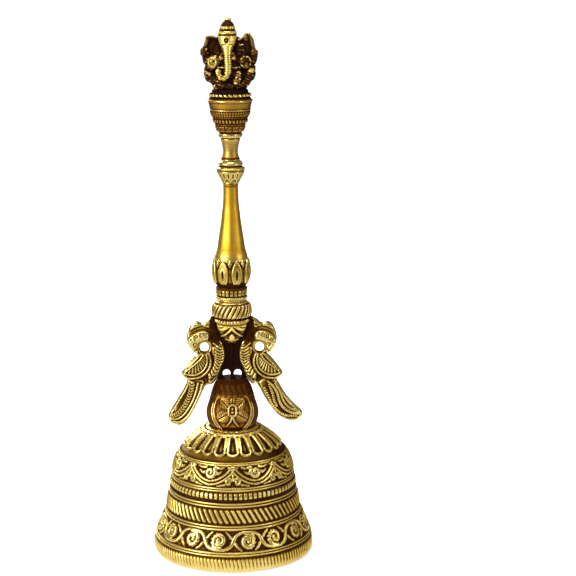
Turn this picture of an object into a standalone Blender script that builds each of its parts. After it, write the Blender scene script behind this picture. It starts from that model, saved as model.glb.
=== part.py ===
"""Ornate brass hand bell (puja ghanti): a cast bell cup with a swinging clapper, a vase boss,
a pair of backward-looking peacocks, and a turned handle ending in a seated elephant-faced figure.

Metres, +Z up.  The origin is the centre of the mouth plane, the front is -Y, and the two birds
lie along X.  All driving dimensions below are in millimetres and are turned into metres by MM.
"""

import math

import bmesh
import bpy
from mathutils import Matrix, Vector

MM = 0.001

# ---------------------------------------------------------------- driving dimensions, millimetres
GAP = 0.3                   # clearance between touching castings
BELL_SEGMENTS = 40
TURNED_SEGMENTS = 24
WIRE_SEGMENTS = 24
WIRE_SIDES = 8

CROWN_TOP = 52.0            # top of the petal rosette, where the vase boss stands
CROWN_SHEET = 1.2           # thickness of the rosette
CROWN_UNDERSIDE = 47.0      # flat ceiling inside the cup
EYE_BOLT_R = 2.5
EYE_BOLT_TOP = 65.0
NUT_FLATS = 8.0
NUT_HEIGHT = 2.4
WASHER_R = 5.5
WASHER_HEIGHT = 1.0

RING_R = 3.2                # centre-line radius of the eye, the link and the rod's eye
RING_WIRE_R = 0.7
RING_REACH = 2 * RING_WIRE_R + GAP   # distance between two linked wires' centre lines
EYE_Z = 39.0
LINK_Z = EYE_Z - RING_R + RING_REACH - RING_R
SWING_Z = LINK_Z - RING_R            # the clapper swings about the link's lower wire
ROD_EYE_Z = SWING_Z + RING_REACH - RING_R
CLAPPER_ROD_R = 1.0
BALL_Z = 8.5
BALL_R = 5.0

TIE_ROD_R = 1.5
TIE_ROD_FOOT = 88.0
TIE_ROD_TIP = 196.0

YOKE_FOOT = 72.9
YOKE_TOP = 96.0
YOKE_WEB_HALF = 2.2
INNER_HOLE = (2.3, 74.5, 1.6)        # x, z and radius of the small round holes, one on each side
OUTER_HOLE = (11.3, 85.6, 1.9)
BIRD_HALF = 3.2
DRILL_LENGTH = 30.0

SHAFT_FOOT = 122.1
SHAFT_TOP = 153.1

SEAT_TOP = 191.2
FIGURE_FOOT = SEAT_TOP + GAP


# ---------------------------------------------------------------- scene and materials
def clear_scene():
    for old in list(bpy.data.objects):
        bpy.data.objects.remove(old, do_unlink=True)


def new_collection(name):
    collection = bpy.data.collections.new(name)
    bpy.context.scene.collection.children.link(collection)
    return collection


clear_scene()
BELL = new_collection("puja_bell")
CUTTERS = new_collection("cutters")
CUTTERS.hide_render = True


def brass(name, colour, roughness):
    material = bpy.data.materials.new(name)
    material.use_nodes = True
    shader = material.node_tree.nodes["Principled BSDF"]
    shader.inputs["Base Color"].default_value = (*colour, 1.0)
    shader.inputs["Metallic"].default_value = 1.0
    shader.inputs["Roughness"].default_value = roughness
    material.diffuse_color = (*colour, 1.0)
    return material


ANTIQUE = (0.52, 0.38, 0.12)
POLISHED = (0.66, 0.45, 0.13)
DARK = (0.24, 0.16, 0.06)
STEEL = (0.45, 0.44, 0.42)


def finish(obj, colour, roughness, collection=BELL, smooth=True):
    obj.data.materials.clear()
    obj.data.materials.append(brass(obj.name + "_metal", colour, roughness))
    if smooth and obj.type == "MESH":
        obj.data.shade_smooth()
        obj.data.set_sharp_from_angle(angle=math.radians(35))
    return link_to(obj, collection)


def link_to(obj, collection):
    for owner in list(obj.users_collection):
        owner.objects.unlink(obj)
    collection.objects.link(obj)
    return obj


def mesh_object(name, build):
    """An object whose mesh is made by build(bm), with its shape in millimetres."""
    bm = bmesh.new()
    build(bm)
    bmesh.ops.scale(bm, vec=Vector((MM, MM, MM)), verts=bm.verts)
    bmesh.ops.recalc_face_normals(bm, faces=bm.faces)
    mesh = bpy.data.meshes.new(name)
    bm.to_mesh(mesh)
    bm.free()
    obj = bpy.data.objects.new(name, mesh)
    BELL.objects.link(obj)
    return obj


def turned(name, profile, segments=TURNED_SEGMENTS):
    """A solid of revolution.  profile is a closed loop of (radius, height) that runs down the outer side."""
    mesh = bpy.data.meshes.new(name)
    points = [(radius * MM, 0.0, height * MM) for radius, height in profile]
    count = len(points)
    mesh.from_pydata(points, [(i, (i + 1) % count) for i in range(count)], [])
    obj = bpy.data.objects.new(name, mesh)
    BELL.objects.link(obj)
    screw = obj.modifiers.new("turn", "SCREW")
    screw.axis = "Z"
    screw.steps = segments
    screw.render_steps = segments
    screw.merge_threshold = 0.00001
    screw.use_merge_vertices = True
    return obj


def bored(outer, bore):
    """The closed profile of a turned sleeve: outer runs down, and the bore of radius `bore` runs back up."""
    return [(bore, outer[0][1])] + outer + [(bore, outer[-1][1])]


def as_mesh(obj):
    """Replaces an object with modifiers, or a curve, by its evaluated mesh, with loose caps welded."""
    bpy.context.view_layer.update()
    graph = bpy.context.evaluated_depsgraph_get()
    mesh = bpy.data.meshes.new_from_object(obj.evaluated_get(graph), depsgraph=graph)
    bm = bmesh.new()
    bm.from_mesh(mesh)
    bmesh.ops.remove_doubles(bm, verts=bm.verts, dist=0.00001)
    bmesh.ops.recalc_face_normals(bm, faces=bm.faces)
    bm.to_mesh(mesh)
    bm.free()
    name = obj.name
    made = bpy.data.objects.new(name + "_mesh", mesh)
    made.matrix_world = obj.matrix_world.copy()
    BELL.objects.link(made)
    bpy.data.objects.remove(obj, do_unlink=True)
    made.name = name
    return made


def combine(target, other, operation):
    """Adds a Boolean to target.  The other object becomes a hidden cutter."""
    link_to(other, CUTTERS)
    other.hide_render = True
    other.display_type = "WIRE"
    modifier = target.modifiers.new(operation.lower(), "BOOLEAN")
    modifier.operation = operation
    modifier.solver = "EXACT"
    modifier.object = other
    return target


def cylinder(name, radius, foot, top, sides=TURNED_SEGMENTS):
    def build(bm):
        middle = Matrix.Translation((0, 0, (foot + top) / 2))
        bmesh.ops.create_cone(
            bm, cap_ends=True, segments=sides, radius1=radius, radius2=radius, depth=top - foot, matrix=middle
        )

    return mesh_object(name, build)


def drill_across(name, x, z, radius):
    """A cutter for a round hole that runs along Y at (x, z)."""

    def build(bm):
        place = Matrix.Translation((x, 0, z)) @ Matrix.Rotation(math.pi / 2, 4, "X")
        bmesh.ops.create_cone(
            bm,
            cap_ends=True,
            segments=TURNED_SEGMENTS,
            radius1=radius,
            radius2=radius,
            depth=DRILL_LENGTH,
            matrix=place,
        )

    return mesh_object(name, build)


def ring(name, centre_z, plane):
    """A wire ring centred on the axis.  plane is 'XZ' or 'YZ'."""
    bpy.ops.mesh.primitive_torus_add(
        major_radius=RING_R * MM,
        minor_radius=RING_WIRE_R * MM,
        major_segments=WIRE_SEGMENTS,
        minor_segments=WIRE_SIDES,
    )
    obj = bpy.context.object
    obj.name = name
    turn = Matrix.Rotation(math.pi / 2, 4, "X" if plane == "XZ" else "Y")
    obj.data.transform(Matrix.Translation((0, 0, centre_z * MM)) @ turn)
    return link_to(obj, BELL)


def flat_outline(name, outline, half_thickness, holes=(), resolution=3):
    """A plate in the XZ plane: a closed smooth curve through outline, with round holes, extruded along Y."""
    curve = bpy.data.curves.new(name, "CURVE")
    curve.dimensions = "2D"
    curve.fill_mode = "BOTH"
    curve.extrude = half_thickness * MM
    curve.resolution_u = resolution
    spline = curve.splines.new("BEZIER")
    spline.bezier_points.add(len(outline) - 1)
    for point, (x, z) in zip(spline.bezier_points, outline):
        point.co = (x * MM, z * MM, 0)
        point.handle_left_type = "AUTO"
        point.handle_right_type = "AUTO"
    spline.use_cyclic_u = True
    for x, z, radius in holes:
        circle = curve.splines.new("POLY")
        circle.points.add(15)
        for i, point in enumerate(circle.points):
            angle = 2 * math.pi * i / 16
            point.co = ((x + radius * math.cos(angle)) * MM, (z + radius * math.sin(angle)) * MM, 0, 1)
        circle.use_cyclic_u = True
    obj = bpy.data.objects.new(name, curve)
    BELL.objects.link(obj)
    obj.rotation_euler = (math.pi / 2, 0, 0)
    return as_mesh(obj)


# ---------------------------------------------------------------- the bell
def make_bell_cup():
    """Cast cup: thick lip, flared skirt, straight waist, round shoulder and a flat crown seat."""
    seat = CROWN_TOP - CROWN_SHEET - GAP
    bolt_hole = EYE_BOLT_R + GAP
    outer = [
        (9.3, seat), (12.0, 49.8), (14.4, 48.5), (16.4, 46.8), (18.9, 44.0), (19.8, 42.9), (21.6, 42.9),
        (23.9, 39.0), (25.2, 35.0), (26.3, 28.0), (27.0, 24.0), (27.7, 20.0), (28.7, 16.0), (29.8, 12.6),
        (31.6, 9.7), (32.8, 7.0), (33.05, 4.0), (32.7, 1.6), (32.0, 0.0),
    ]
    inner = [
        (30.2, 0.0), (29.0, 2.5), (28.2, 7.0), (26.6, 12.0), (25.2, 20.0), (24.0, 28.0), (22.6, 36.0),
        (20.6, 40.6), (17.5, 44.2), (13.0, 46.6), (9.0, CROWN_UNDERSIDE), (bolt_hole, CROWN_UNDERSIDE),
    ]
    cup = turned("bell_cup", [(bolt_hole, seat)] + outer + inner, BELL_SEGMENTS)
    return finish(cup, ANTIQUE, 0.35)


def make_crown_rosette():
    """Pressed cap of petals that covers the crown and the shoulder of the cup."""
    hole = EYE_BOLT_R + GAP
    over = [(9.5, CROWN_TOP), (12.5, 51.3), (15.1, 49.9), (17.3, 47.9), (20.0, 44.8), (21.0, 43.2)]
    sheet = CROWN_SHEET
    under = [(20.2, 43.2), (19.2, 44.2), (16.7, 47.1), (14.6, 48.8), (12.1, 50.1), (9.4, CROWN_TOP - sheet)]
    rosette = turned(
        "crown_rosette", [(hole, CROWN_TOP)] + over + under + [(hole, CROWN_TOP - sheet)], BELL_SEGMENTS
    )
    return finish(rosette, ANTIQUE, 0.35)


def make_vase_boss():
    """Egg-shaped boss between the crown and the yoke, with a blind threaded hole from below."""
    outer = [
        (0.0, 72.6), (5.9, 72.6), (6.3, 71.8), (8.7, 67.2), (9.5, 63.7), (10.6, 60.3), (11.0, 58.0),
        (10.7, 55.6), (9.9, 53.4), (9.2, CROWN_TOP + GAP),
    ]
    hole = EYE_BOLT_R + GAP
    blind = EYE_BOLT_TOP + GAP
    vase = turned("vase_boss", outer + [(hole, CROWN_TOP + GAP), (hole, blind), (0.0, blind)])
    return finish(vase, ANTIQUE, 0.35)


# ---------------------------------------------------------------- the yoke with its two birds
def make_yoke_column():
    """Round leaf capital on top of a flat web that has two hanging holes just above the vase."""
    hub = turned(
        "yoke_column",
        [(0, YOKE_TOP), (6.6, YOKE_TOP), (6.5, 94.9), (5.6, 92.4), (3.9, 89.2), (2.4, 86.0), (0, 85.2)],
    )
    hub = as_mesh(hub)
    web_edge = [(2.8, 88.0), (2.4, 84.0), (2.5, 80.4), (3.7, 77.4), (5.6, 75.2), (5.8, YOKE_FOOT)]
    web = flat_outline(
        "yoke_web",
        web_edge + [(-x, z) for x, z in reversed(web_edge)],
        YOKE_WEB_HALF,
        resolution=2,
    )
    base_cut = mesh_object(
        "yoke_base_cut",
        lambda bm: bmesh.ops.create_cube(
            bm, size=20, matrix=Matrix.Translation((0, 0, YOKE_FOOT - 10))
        ),
    )
    combine(hub, web, "UNION")
    combine(hub, base_cut, "DIFFERENCE")
    for side in (-1, 1):
        x, z, radius = INNER_HOLE
        hole = drill_across(f"inner_hole_{side}", side * x, z, radius)
        combine(hub, hole, "DIFFERENCE")
    bore = cylinder("tie_rod_socket", TIE_ROD_R + GAP, TIE_ROD_FOOT - GAP, YOKE_TOP + 5)
    combine(hub, bore, "DIFFERENCE")
    return finish(hub, DARK, 0.45)


def bird_outline(side):
    """A bird looking back over its wing: (|x|, z) round its edge.  The left tail hangs steeper."""
    neck_and_head = [
        (7.1, 95.6), (8.8, 97.2), (10.4, 97.0), (12.4, 95.7), (14.5, 96.4), (17.0, 93.9), (18.4, 90.2),
        (18.0, 86.8), (15.9, 83.5),
    ]
    wing = [(14.7, 82.7), (17.4, 79.7), (20.7, 74.9), (18.5, 72.5)]
    right_tail = [
        (19.9, 69.3), (22.6, 64.8), (26.3, 61.0), (29.0, 57.8), (27.4, 55.2), (23.4, 54.8), (18.7, 57.0),
        (14.9, 61.6), (12.2, 66.6), (10.2, 70.0),
    ]
    left_tail = [
        (19.6, 69.0), (22.3, 64.4), (25.0, 60.0), (26.5, 56.4), (25.0, 53.5), (22.2, 52.7), (18.2, 55.2),
        (15.0, 61.0), (12.2, 66.8), (10.2, 70.0),
    ]
    tail = left_tail if side < 0 else right_tail
    legs = [(7.9, 71.3), (6.6, 74.4)]
    breast = [(4.6, 77.2), (3.0, 80.4), (2.9, 84.0), (3.9, 87.6), (6.0, 91.6)]
    return neck_and_head + wing + tail + legs + breast


def make_bird(name, side):
    hole = (side * OUTER_HOLE[0], *OUTER_HOLE[1:])
    outline = [(side * x, z) for x, z in bird_outline(side)]
    bird = flat_outline(name, outline, BIRD_HALF, [hole])
    return finish(bird, ANTIQUE, 0.35, smooth=False)


# ---------------------------------------------------------------- the handle, from the yoke upwards
TIE_BORE = TIE_ROD_R + GAP


def make_rope_collar():
    outer = [
        (6.4, 105.05), (7.15, 104.3), (7.8, 102.6), (8.05, 100.6), (7.95, 99.0), (7.0, 98.2), (7.1, 96.9),
        (6.7, YOKE_TOP + GAP),
    ]
    return finish(turned("rope_collar", bored(outer, TIE_BORE)), ANTIQUE, 0.35)


def make_fret_collar():
    outer = [
        (6.0, 111.1), (6.35, 110.6), (6.3, 108.2), (6.15, 107.6), (6.55, 106.8), (6.5, 106.0), (6.0, 105.35),
    ]
    return finish(turned("fret_collar", bored(outer, TIE_BORE)), ANTIQUE, 0.35)


def make_lotus_collar():
    outer = [
        (7.2, 121.8), (7.7, 120.9), (7.8, 119.3), (7.95, 117.4), (7.5, 114.3), (6.7, 112.6), (6.2, 111.4),
    ]
    return finish(turned("lotus_collar", bored(outer, TIE_BORE)), ANTIQUE, 0.3)


def make_handle_shaft():
    outer = [
        (3.1, SHAFT_TOP), (3.0, 149.5), (3.2, 145.6), (3.6, 142.0), (4.05, 137.6), (4.6, 134.0), (5.1, 130.8),
        (5.6, 127.4), (6.6, 124.4), (7.1, 122.9), (6.9, SHAFT_FOOT),
    ]
    return finish(turned("handle_shaft", bored(outer, TIE_BORE)), POLISHED, 0.2)


def make_knop():
    outer = [
        (4.2, 162.5), (4.9, 161.7), (4.85, 160.9), (5.85, 159.3), (5.5, 158.2), (4.9, 156.9), (4.0, 155.3),
        (3.45, 153.9), (3.3, SHAFT_TOP + GAP),
    ]
    return finish(turned("knop", bored(outer, TIE_BORE)), POLISHED, 0.25)


def make_finial_cone():
    outer = [
        (8.4, 187.9), (8.9, 187.0), (8.9, 186.0), (8.0, 182.6), (7.2, 179.5), (6.3, 177.7), (5.2, 174.6),
        (4.7, 172.8), (3.6, 169.9), (3.0, 167.0), (3.0, 165.2), (3.8, 163.4), (3.9, 162.8),
    ]
    return finish(turned("finial_cone", bored(outer, TIE_BORE)), ANTIQUE, 0.3)


def make_beaded_seat():
    outer = [(7.4, SEAT_TOP), (8.2, 190.2), (8.4, 189.0), (8.0, 188.2)]
    return finish(turned("beaded_seat", bored(outer, TIE_BORE)), DARK, 0.45)


def ellipsoid(bm, centre, radii):
    place = Matrix.Translation(centre) @ Matrix.Diagonal((*radii, 1.0))
    bmesh.ops.create_uvsphere(bm, u_segments=16, v_segments=10, radius=1.0, matrix=place)


def limb(bm, start, end, radius_start, radius_end):
    start = Vector(start)
    end = Vector(end)
    run = end - start
    place = Matrix.Translation((start + end) / 2) @ run.to_track_quat("Z", "Y").to_matrix().to_4x4()
    bmesh.ops.create_cone(
        bm,
        cap_ends=True,
        segments=12,
        radius1=radius_start,
        radius2=radius_end,
        depth=run.length,
        matrix=place,
    )
    ellipsoid(bm, start, (radius_start,) * 3)
    ellipsoid(bm, end, (radius_end,) * 3)


def shape_figure(bm):
    """Seated elephant-faced figure with four arms, on crossed legs, facing -Y."""
    ellipsoid(bm, (0, 0.3, 193.4), (6.9, 5.4, 2.6))
    ellipsoid(bm, (0, 0.8, 199.3), (5.4, 4.4, 6.8))
    ellipsoid(bm, (0, -1.0, 198.0), (4.6, 4.2, 4.4))
    ellipsoid(bm, (0, -0.6, 208.0), (4.3, 4.2, 4.6))
    limb(bm, (0, 0, 211.5), (0, 0, 218.3), 3.6, 1.0)
    limb(bm, (0, -4.2, 208.0), (0, -5.2, 201.5), 1.9, 1.4)
    limb(bm, (0, -5.2, 201.5), (-1.6, -5.6, 196.6), 1.4, 1.1)
    limb(bm, (-1.6, -5.6, 196.6), (-4.2, -5.2, 198.8), 1.1, 0.9)
    for side in (-1, 1):
        ellipsoid(bm, (side * 6.6, 0.4, 207.2), (2.9, 1.3, 4.9))
        limb(bm, (side * 2.0, 0.2, 194.6), (side * 8.2, -2.0, 196.6), 3.0, 2.4)
        limb(bm, (side * 8.2, -2.0, 196.2), (side * 1.2, -5.0, 193.8), 2.2, 1.6)
        limb(bm, (side * 4.6, 1.0, 203.2), (side * 8.8, 1.0, 201.4), 1.8, 1.5)
        limb(bm, (side * 8.8, 1.0, 201.4), (side * 10.0, -0.6, 206.2), 1.5, 1.4)
        limb(bm, (side * 10.0, -0.6, 206.2), (side * 8.0, -0.6, 212.6), 1.2, 1.2)
        limb(bm, (side * 4.8, -1.0, 202.6), (side * 7.2, -2.6, 199.6), 1.6, 1.4)
        limb(bm, (side * 7.2, -2.6, 199.6), (side * 6.2, -4.8, 202.0), 1.4, 1.6)


def make_seated_figure():
    """The limbs and body are fused on a fine grid, then thinned to a light mesh with a socket below."""
    figure = mesh_object("seated_figure", shape_figure)
    fuse = figure.modifiers.new("fuse", "REMESH")
    fuse.mode = "VOXEL"
    fuse.voxel_size = 0.7 * MM
    thin = figure.modifiers.new("thin", "DECIMATE")
    thin.ratio = 0.17
    figure = as_mesh(figure)
    floor_cut = mesh_object(
        "figure_floor_cut",
        lambda bm: bmesh.ops.create_cube(bm, size=40, matrix=Matrix.Translation((0, 0, FIGURE_FOOT - 20))),
    )
    combine(figure, floor_cut, "DIFFERENCE")
    socket = cylinder("figure_socket", TIE_BORE, FIGURE_FOOT - 2, TIE_ROD_TIP + GAP, 16)
    combine(figure, socket, "DIFFERENCE")
    return finish(figure, DARK, 0.45)


# ---------------------------------------------------------------- what holds it together, and the clapper
def make_tie_rod():
    rod = cylinder("tie_rod", TIE_ROD_R, TIE_ROD_FOOT, TIE_ROD_TIP, 16)
    return finish(rod, STEEL, 0.4)


def make_eye_bolt():
    """Bolt from inside the cup up into the vase boss, with a ring at its foot for the clapper."""
    shank = cylinder("eye_bolt", EYE_BOLT_R, EYE_Z + RING_R - 0.4, EYE_BOLT_TOP, 16)
    combine(shank, ring("eye_bolt_ring", EYE_Z, "XZ"), "UNION")
    return finish(shank, POLISHED, 0.35)


def make_crown_washer():
    top = CROWN_UNDERSIDE - GAP
    foot = top - WASHER_HEIGHT
    hole = EYE_BOLT_R + GAP
    washer = turned("crown_washer", [(hole, top), (WASHER_R, top), (WASHER_R, foot), (hole, foot)])
    return finish(washer, STEEL, 0.4)


def make_crown_nut():
    top = CROWN_UNDERSIDE - GAP - WASHER_HEIGHT - GAP
    foot = top - NUT_HEIGHT
    corner = NUT_FLATS / 2 / math.cos(math.pi / 6)
    nut = cylinder("crown_nut", corner, foot, top, 6)
    combine(nut, cylinder("crown_nut_bore", EYE_BOLT_R + GAP, foot - 1, top + 1, 16), "DIFFERENCE")
    return finish(nut, STEEL, 0.4)


def make_clapper_link():
    return finish(ring("clapper_link", LINK_Z, "YZ"), POLISHED, 0.35)


def make_clapper_rod():
    rod = cylinder("clapper_rod", CLAPPER_ROD_R, BALL_Z - 1.5, ROD_EYE_Z - RING_R + 0.3, 12)
    combine(rod, ring("clapper_rod_eye", ROD_EYE_Z, "XZ"), "UNION")
    return finish(rod, POLISHED, 0.35)


def make_clapper_ball():
    """Cast ball with a short neck, bored from above for the rod."""
    bore = CLAPPER_ROD_R + GAP
    neck_r = 2.0
    neck_angle = math.asin(neck_r / BALL_R)
    steps = 9
    profile = [(bore, BALL_Z + BALL_R + 0.8), (neck_r, BALL_Z + BALL_R + 0.8)]
    for i in range(steps):
        angle = neck_angle + (math.pi - neck_angle) * i / steps
        profile.append((BALL_R * math.sin(angle), BALL_Z + BALL_R * math.cos(angle)))
    profile += [(0, BALL_Z - BALL_R), (0, BALL_Z - 1.5 - GAP), (bore, BALL_Z - 1.5 - GAP)]
    return finish(turned("clapper_ball", profile), POLISHED, 0.35)


# ---------------------------------------------------------------- assembly
def hang_on(obj, pivot):
    """Parents obj to an empty on its joint's axis, keeping the shape where it is."""
    obj.parent = pivot
    obj.matrix_parent_inverse = pivot.matrix_world.inverted()


def make_pivot(name, z):
    pivot = bpy.data.objects.new(name, None)
    pivot.location = (0, 0, z * MM)
    BELL.objects.link(pivot)
    bpy.context.view_layer.update()
    return pivot


def main():
    make_bell_cup()
    make_crown_rosette()
    make_vase_boss()
    make_yoke_column()
    make_bird("bird_left", -1)
    make_bird("bird_right", 1)
    make_rope_collar()
    make_fret_collar()
    make_lotus_collar()
    make_handle_shaft()
    make_knop()
    make_finial_cone()
    make_beaded_seat()
    make_seated_figure()
    make_tie_rod()
    make_eye_bolt()
    make_crown_washer()
    make_crown_nut()
    twist_pivot = make_pivot("clapper_twist_axis", EYE_Z - RING_R)
    swing_pivot = make_pivot("clapper_swing_axis", SWING_Z)
    swing_pivot.parent = twist_pivot
    swing_pivot.matrix_parent_inverse = twist_pivot.matrix_world.inverted()
    bpy.context.view_layer.update()
    hang_on(make_clapper_link(), twist_pivot)
    hang_on(make_clapper_rod(), swing_pivot)
    hang_on(make_clapper_ball(), swing_pivot)


main()
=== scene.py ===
"""Looks of the brass hand bell: cast relief, patina and studio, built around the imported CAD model.

Everything is in metres in the CAD frame (+Z up, front is -Y, birds along X).  Shapes are worked out
in millimetres and scaled by MM when a mesh is made.
"""

import math

import bpy
import bmesh
import numpy as np
from mathutils import Matrix, Vector


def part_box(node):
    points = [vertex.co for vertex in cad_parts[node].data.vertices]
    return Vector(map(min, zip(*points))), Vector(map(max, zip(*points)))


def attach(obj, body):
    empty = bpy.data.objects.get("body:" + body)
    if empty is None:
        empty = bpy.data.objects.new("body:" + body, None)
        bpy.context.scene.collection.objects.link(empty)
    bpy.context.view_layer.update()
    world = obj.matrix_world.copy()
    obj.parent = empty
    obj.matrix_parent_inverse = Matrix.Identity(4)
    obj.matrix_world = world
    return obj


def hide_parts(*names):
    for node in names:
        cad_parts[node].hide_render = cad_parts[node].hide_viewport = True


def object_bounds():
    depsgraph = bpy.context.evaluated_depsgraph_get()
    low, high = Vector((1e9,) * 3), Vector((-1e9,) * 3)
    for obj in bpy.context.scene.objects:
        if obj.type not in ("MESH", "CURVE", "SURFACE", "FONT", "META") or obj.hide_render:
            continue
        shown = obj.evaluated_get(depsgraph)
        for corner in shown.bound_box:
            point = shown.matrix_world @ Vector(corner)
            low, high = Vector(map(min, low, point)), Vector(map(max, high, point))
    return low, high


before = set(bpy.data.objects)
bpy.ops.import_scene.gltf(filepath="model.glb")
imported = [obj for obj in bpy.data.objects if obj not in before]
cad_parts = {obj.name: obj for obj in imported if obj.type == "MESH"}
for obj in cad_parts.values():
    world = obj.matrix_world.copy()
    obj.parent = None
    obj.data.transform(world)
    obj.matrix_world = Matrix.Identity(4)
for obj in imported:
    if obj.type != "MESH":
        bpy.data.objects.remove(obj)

MM = 0.001
FULL_TURN = 2 * math.pi


def plain_bounds():
    low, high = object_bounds()
    return [[float(v) for v in low], [float(v) for v in high]]


CAD_BOX = plain_bounds()


def levels(node):
    """Foot and top of a CAD node, in mm to the nearest hundredth."""
    low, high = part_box(node)
    return round(low.z / MM, 2), round(high.z / MM, 2)


# ================================================================ small maths
def smoothstep(low, high, value):
    t = np.clip((value - low) / (high - low), 0.0, 1.0)
    return t * t * (3 - 2 * t)


def ridge(value, centre, half_width, height):
    """A rounded raised line across `value`."""
    q = (value - centre) / half_width
    return height * np.sqrt(np.clip(1 - q * q, 0, 1))


def inside(value, low, high, edge=0.25):
    """1 between low and high, falling to 0 over `edge` at each end."""
    return smoothstep(low, low + edge, value) * (1 - smoothstep(high - edge, high, value))


def wave(phase, sharpness=1.0):
    """0 to 1 ripple with one crest at each whole number."""
    return np.abs(np.cos(math.pi * phase)) ** sharpness


def catmull(points, per_span=24, closed=False):
    """A smooth curve through points, as an array."""
    p = np.asarray(points, float)
    if closed:
        p = np.vstack([p[-1], p, p[0], p[1]])
    else:
        beyond_start, beyond_end = 2 * p[0] - p[1], 2 * p[-1] - p[-2]
        p = np.vstack([beyond_start, p, beyond_end])
    t = np.linspace(0, 1, per_span, endpoint=False)[:, None]
    spans = []
    for a, b, c, d in zip(p, p[1:], p[2:], p[3:]):
        square = (2 * a - 5 * b + 4 * c - d) * t**2
        cube = (3 * b - a - 3 * c + d) * t**3
        spans.append(0.5 * (2 * b + (c - a) * t + square + cube))
    curve = np.vstack(spans)
    return curve if closed else np.vstack([curve, p[-2]])


def run_along(curve):
    """Arc length from the start of the curve to each of its points."""
    return np.concatenate([[0], np.cumsum(np.linalg.norm(np.diff(curve, axis=0), axis=1))])


def by_length(curve, stations):
    """Points of the curve at the given arc lengths."""
    run = run_along(curve)
    return np.column_stack([np.interp(stations, run, curve[:, i]) for i in range(curve.shape[1])])


def length_of(curve):
    return float(np.linalg.norm(np.diff(curve, axis=0), axis=1).sum())


def nearest(X, Y, path):
    """Distance from each point to a path, and how far along it (0 to 1) the nearest place is."""
    path = np.asarray(path, float)
    best = np.full(X.shape, 1e9)
    along = np.zeros(X.shape)
    last = len(path) - 1
    for i in range(last):
        (ax, ay), (bx, by) = path[i], path[i + 1]
        dx, dy = bx - ax, by - ay
        t = np.clip(((X - ax) * dx + (Y - ay) * dy) / max(dx * dx + dy * dy, 1e-12), 0, 1)
        distance = np.hypot(X - ax - t * dx, Y - ay - t * dy)
        closer = distance < best
        best = np.where(closer, distance, best)
        along = np.where(closer, (i + t) / last, along)
    return best, along


def stroke(X, Y, path, start_width, end_width, height):
    """Height of a rounded raised line along path, whose half-width runs from start_width to end_width."""
    distance, along = nearest(X, Y, path)
    half = start_width + (end_width - start_width) * along
    return height * np.sqrt(np.clip(1 - (distance / half) ** 3, 0, 1))


def curved_stroke(X, Y, points, start_width, end_width, height):
    """A stroke along a smooth curve through points."""
    return stroke(X, Y, catmull(points, 5), start_width, end_width, height)


def spiral(centre, start_radius, end_radius, start_angle, turns, steps=36):
    """Points of a volute that winds inwards; turns is negative for clockwise."""
    t = np.linspace(0, 1, steps)
    radius = start_radius + (end_radius - start_radius) * t**0.85
    angle = math.radians(start_angle) + FULL_TURN * turns * t
    return np.column_stack([centre[0] + radius * np.cos(angle), centre[1] + radius * np.sin(angle)])


def dot(X, Y, centre, radius, height):
    """Height of a round bead."""
    q = np.hypot(X - centre[0], Y - centre[1]) / radius
    return height * np.sqrt(np.clip(1 - q * q, 0, 1))


def overlay(*fields):
    """The highest of several height fields at every point."""
    top = fields[0]
    for field in fields[1:]:
        top = np.maximum(top, field)
    return top


# ================================================================ meshes
def new_mesh(name, points_mm, faces):
    mesh = bpy.data.meshes.new(name)
    mesh.from_pydata((np.asarray(points_mm) * MM).tolist(), [], faces)
    mesh.validate()
    mesh.update()
    obj = bpy.data.objects.new(name, mesh)
    bpy.context.scene.collection.objects.link(obj)
    return obj


def smooth_shade(obj, angle=50):
    obj.data.shade_smooth()
    obj.data.set_sharp_from_angle(angle=math.radians(angle))


def points_and_normals(mesh):
    """Where every point of the mesh is, in mm, and which way it faces."""
    co = np.empty(len(mesh.vertices) * 3)
    mesh.vertices.foreach_get("co", co)
    normal = np.empty(len(mesh.vertices) * 3)
    mesh.vertex_normals.foreach_get("vector", normal)
    return co.reshape(-1, 3) / MM, normal.reshape(-1, 3)


FINE_PASSES = 8          # rounds of smoothing that even out a single line or bead
BROAD_PASSES = 40        # further rounds that even out a whole band


def weather_and_shade(obj, fine=1.1, broad=0.55, base=0.42, extra=None):
    """Stores `wear_and_shade` on every point: 0 in recesses that keep their dark patina, 1 on rubbed high
    places.

    A point's height over its smoothed surroundings sets it, with fine and broad as the weights of single
    lines and of whole bands.  extra(co, normal), in mm, adds what height alone doesn't tell: there the
    pieces add painted shade and painted light, for where light falls on them.
    """
    mesh = obj.data
    co, normal = points_and_normals(mesh)
    edges = np.empty(len(mesh.edges) * 2, np.int32)
    mesh.edges.foreach_get("vertices", edges)
    a, b = edges.reshape(-1, 2).T
    count = len(co)
    degree = np.maximum(np.bincount(a, minlength=count) + np.bincount(b, minlength=count), 1)[:, None]

    def relax(field, times):
        for _ in range(times):
            total = np.empty_like(field)
            for k in range(field.shape[1]):
                total[:, k] = np.bincount(a, field[b, k], count) + np.bincount(b, field[a, k], count)
            field = 0.5 * field + 0.5 * total / degree
        return field

    near = relax(co, FINE_PASSES)
    far = relax(near, BROAD_PASSES)
    fine_height = ((co - near) * normal).sum(1)
    broad_height = ((co - far) * normal).sum(1)
    wear_and_shade = np.clip(base + fine * 4 * fine_height + broad * 4 * broad_height, -0.3, 1.2)
    if extra is not None:
        wear_and_shade = wear_and_shade + extra(co, normal)
    wear_and_shade = relax(np.clip(wear_and_shade, 0, 1)[:, None], 1)[:, 0]
    # The stored map holds patina and wear, and the painted shade and painted light that extra adds.
    layer = mesh.attributes.new("wear_and_shade", "FLOAT", "POINT")
    layer.data.foreach_set("value", wear_and_shade.astype(np.float32))


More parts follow.
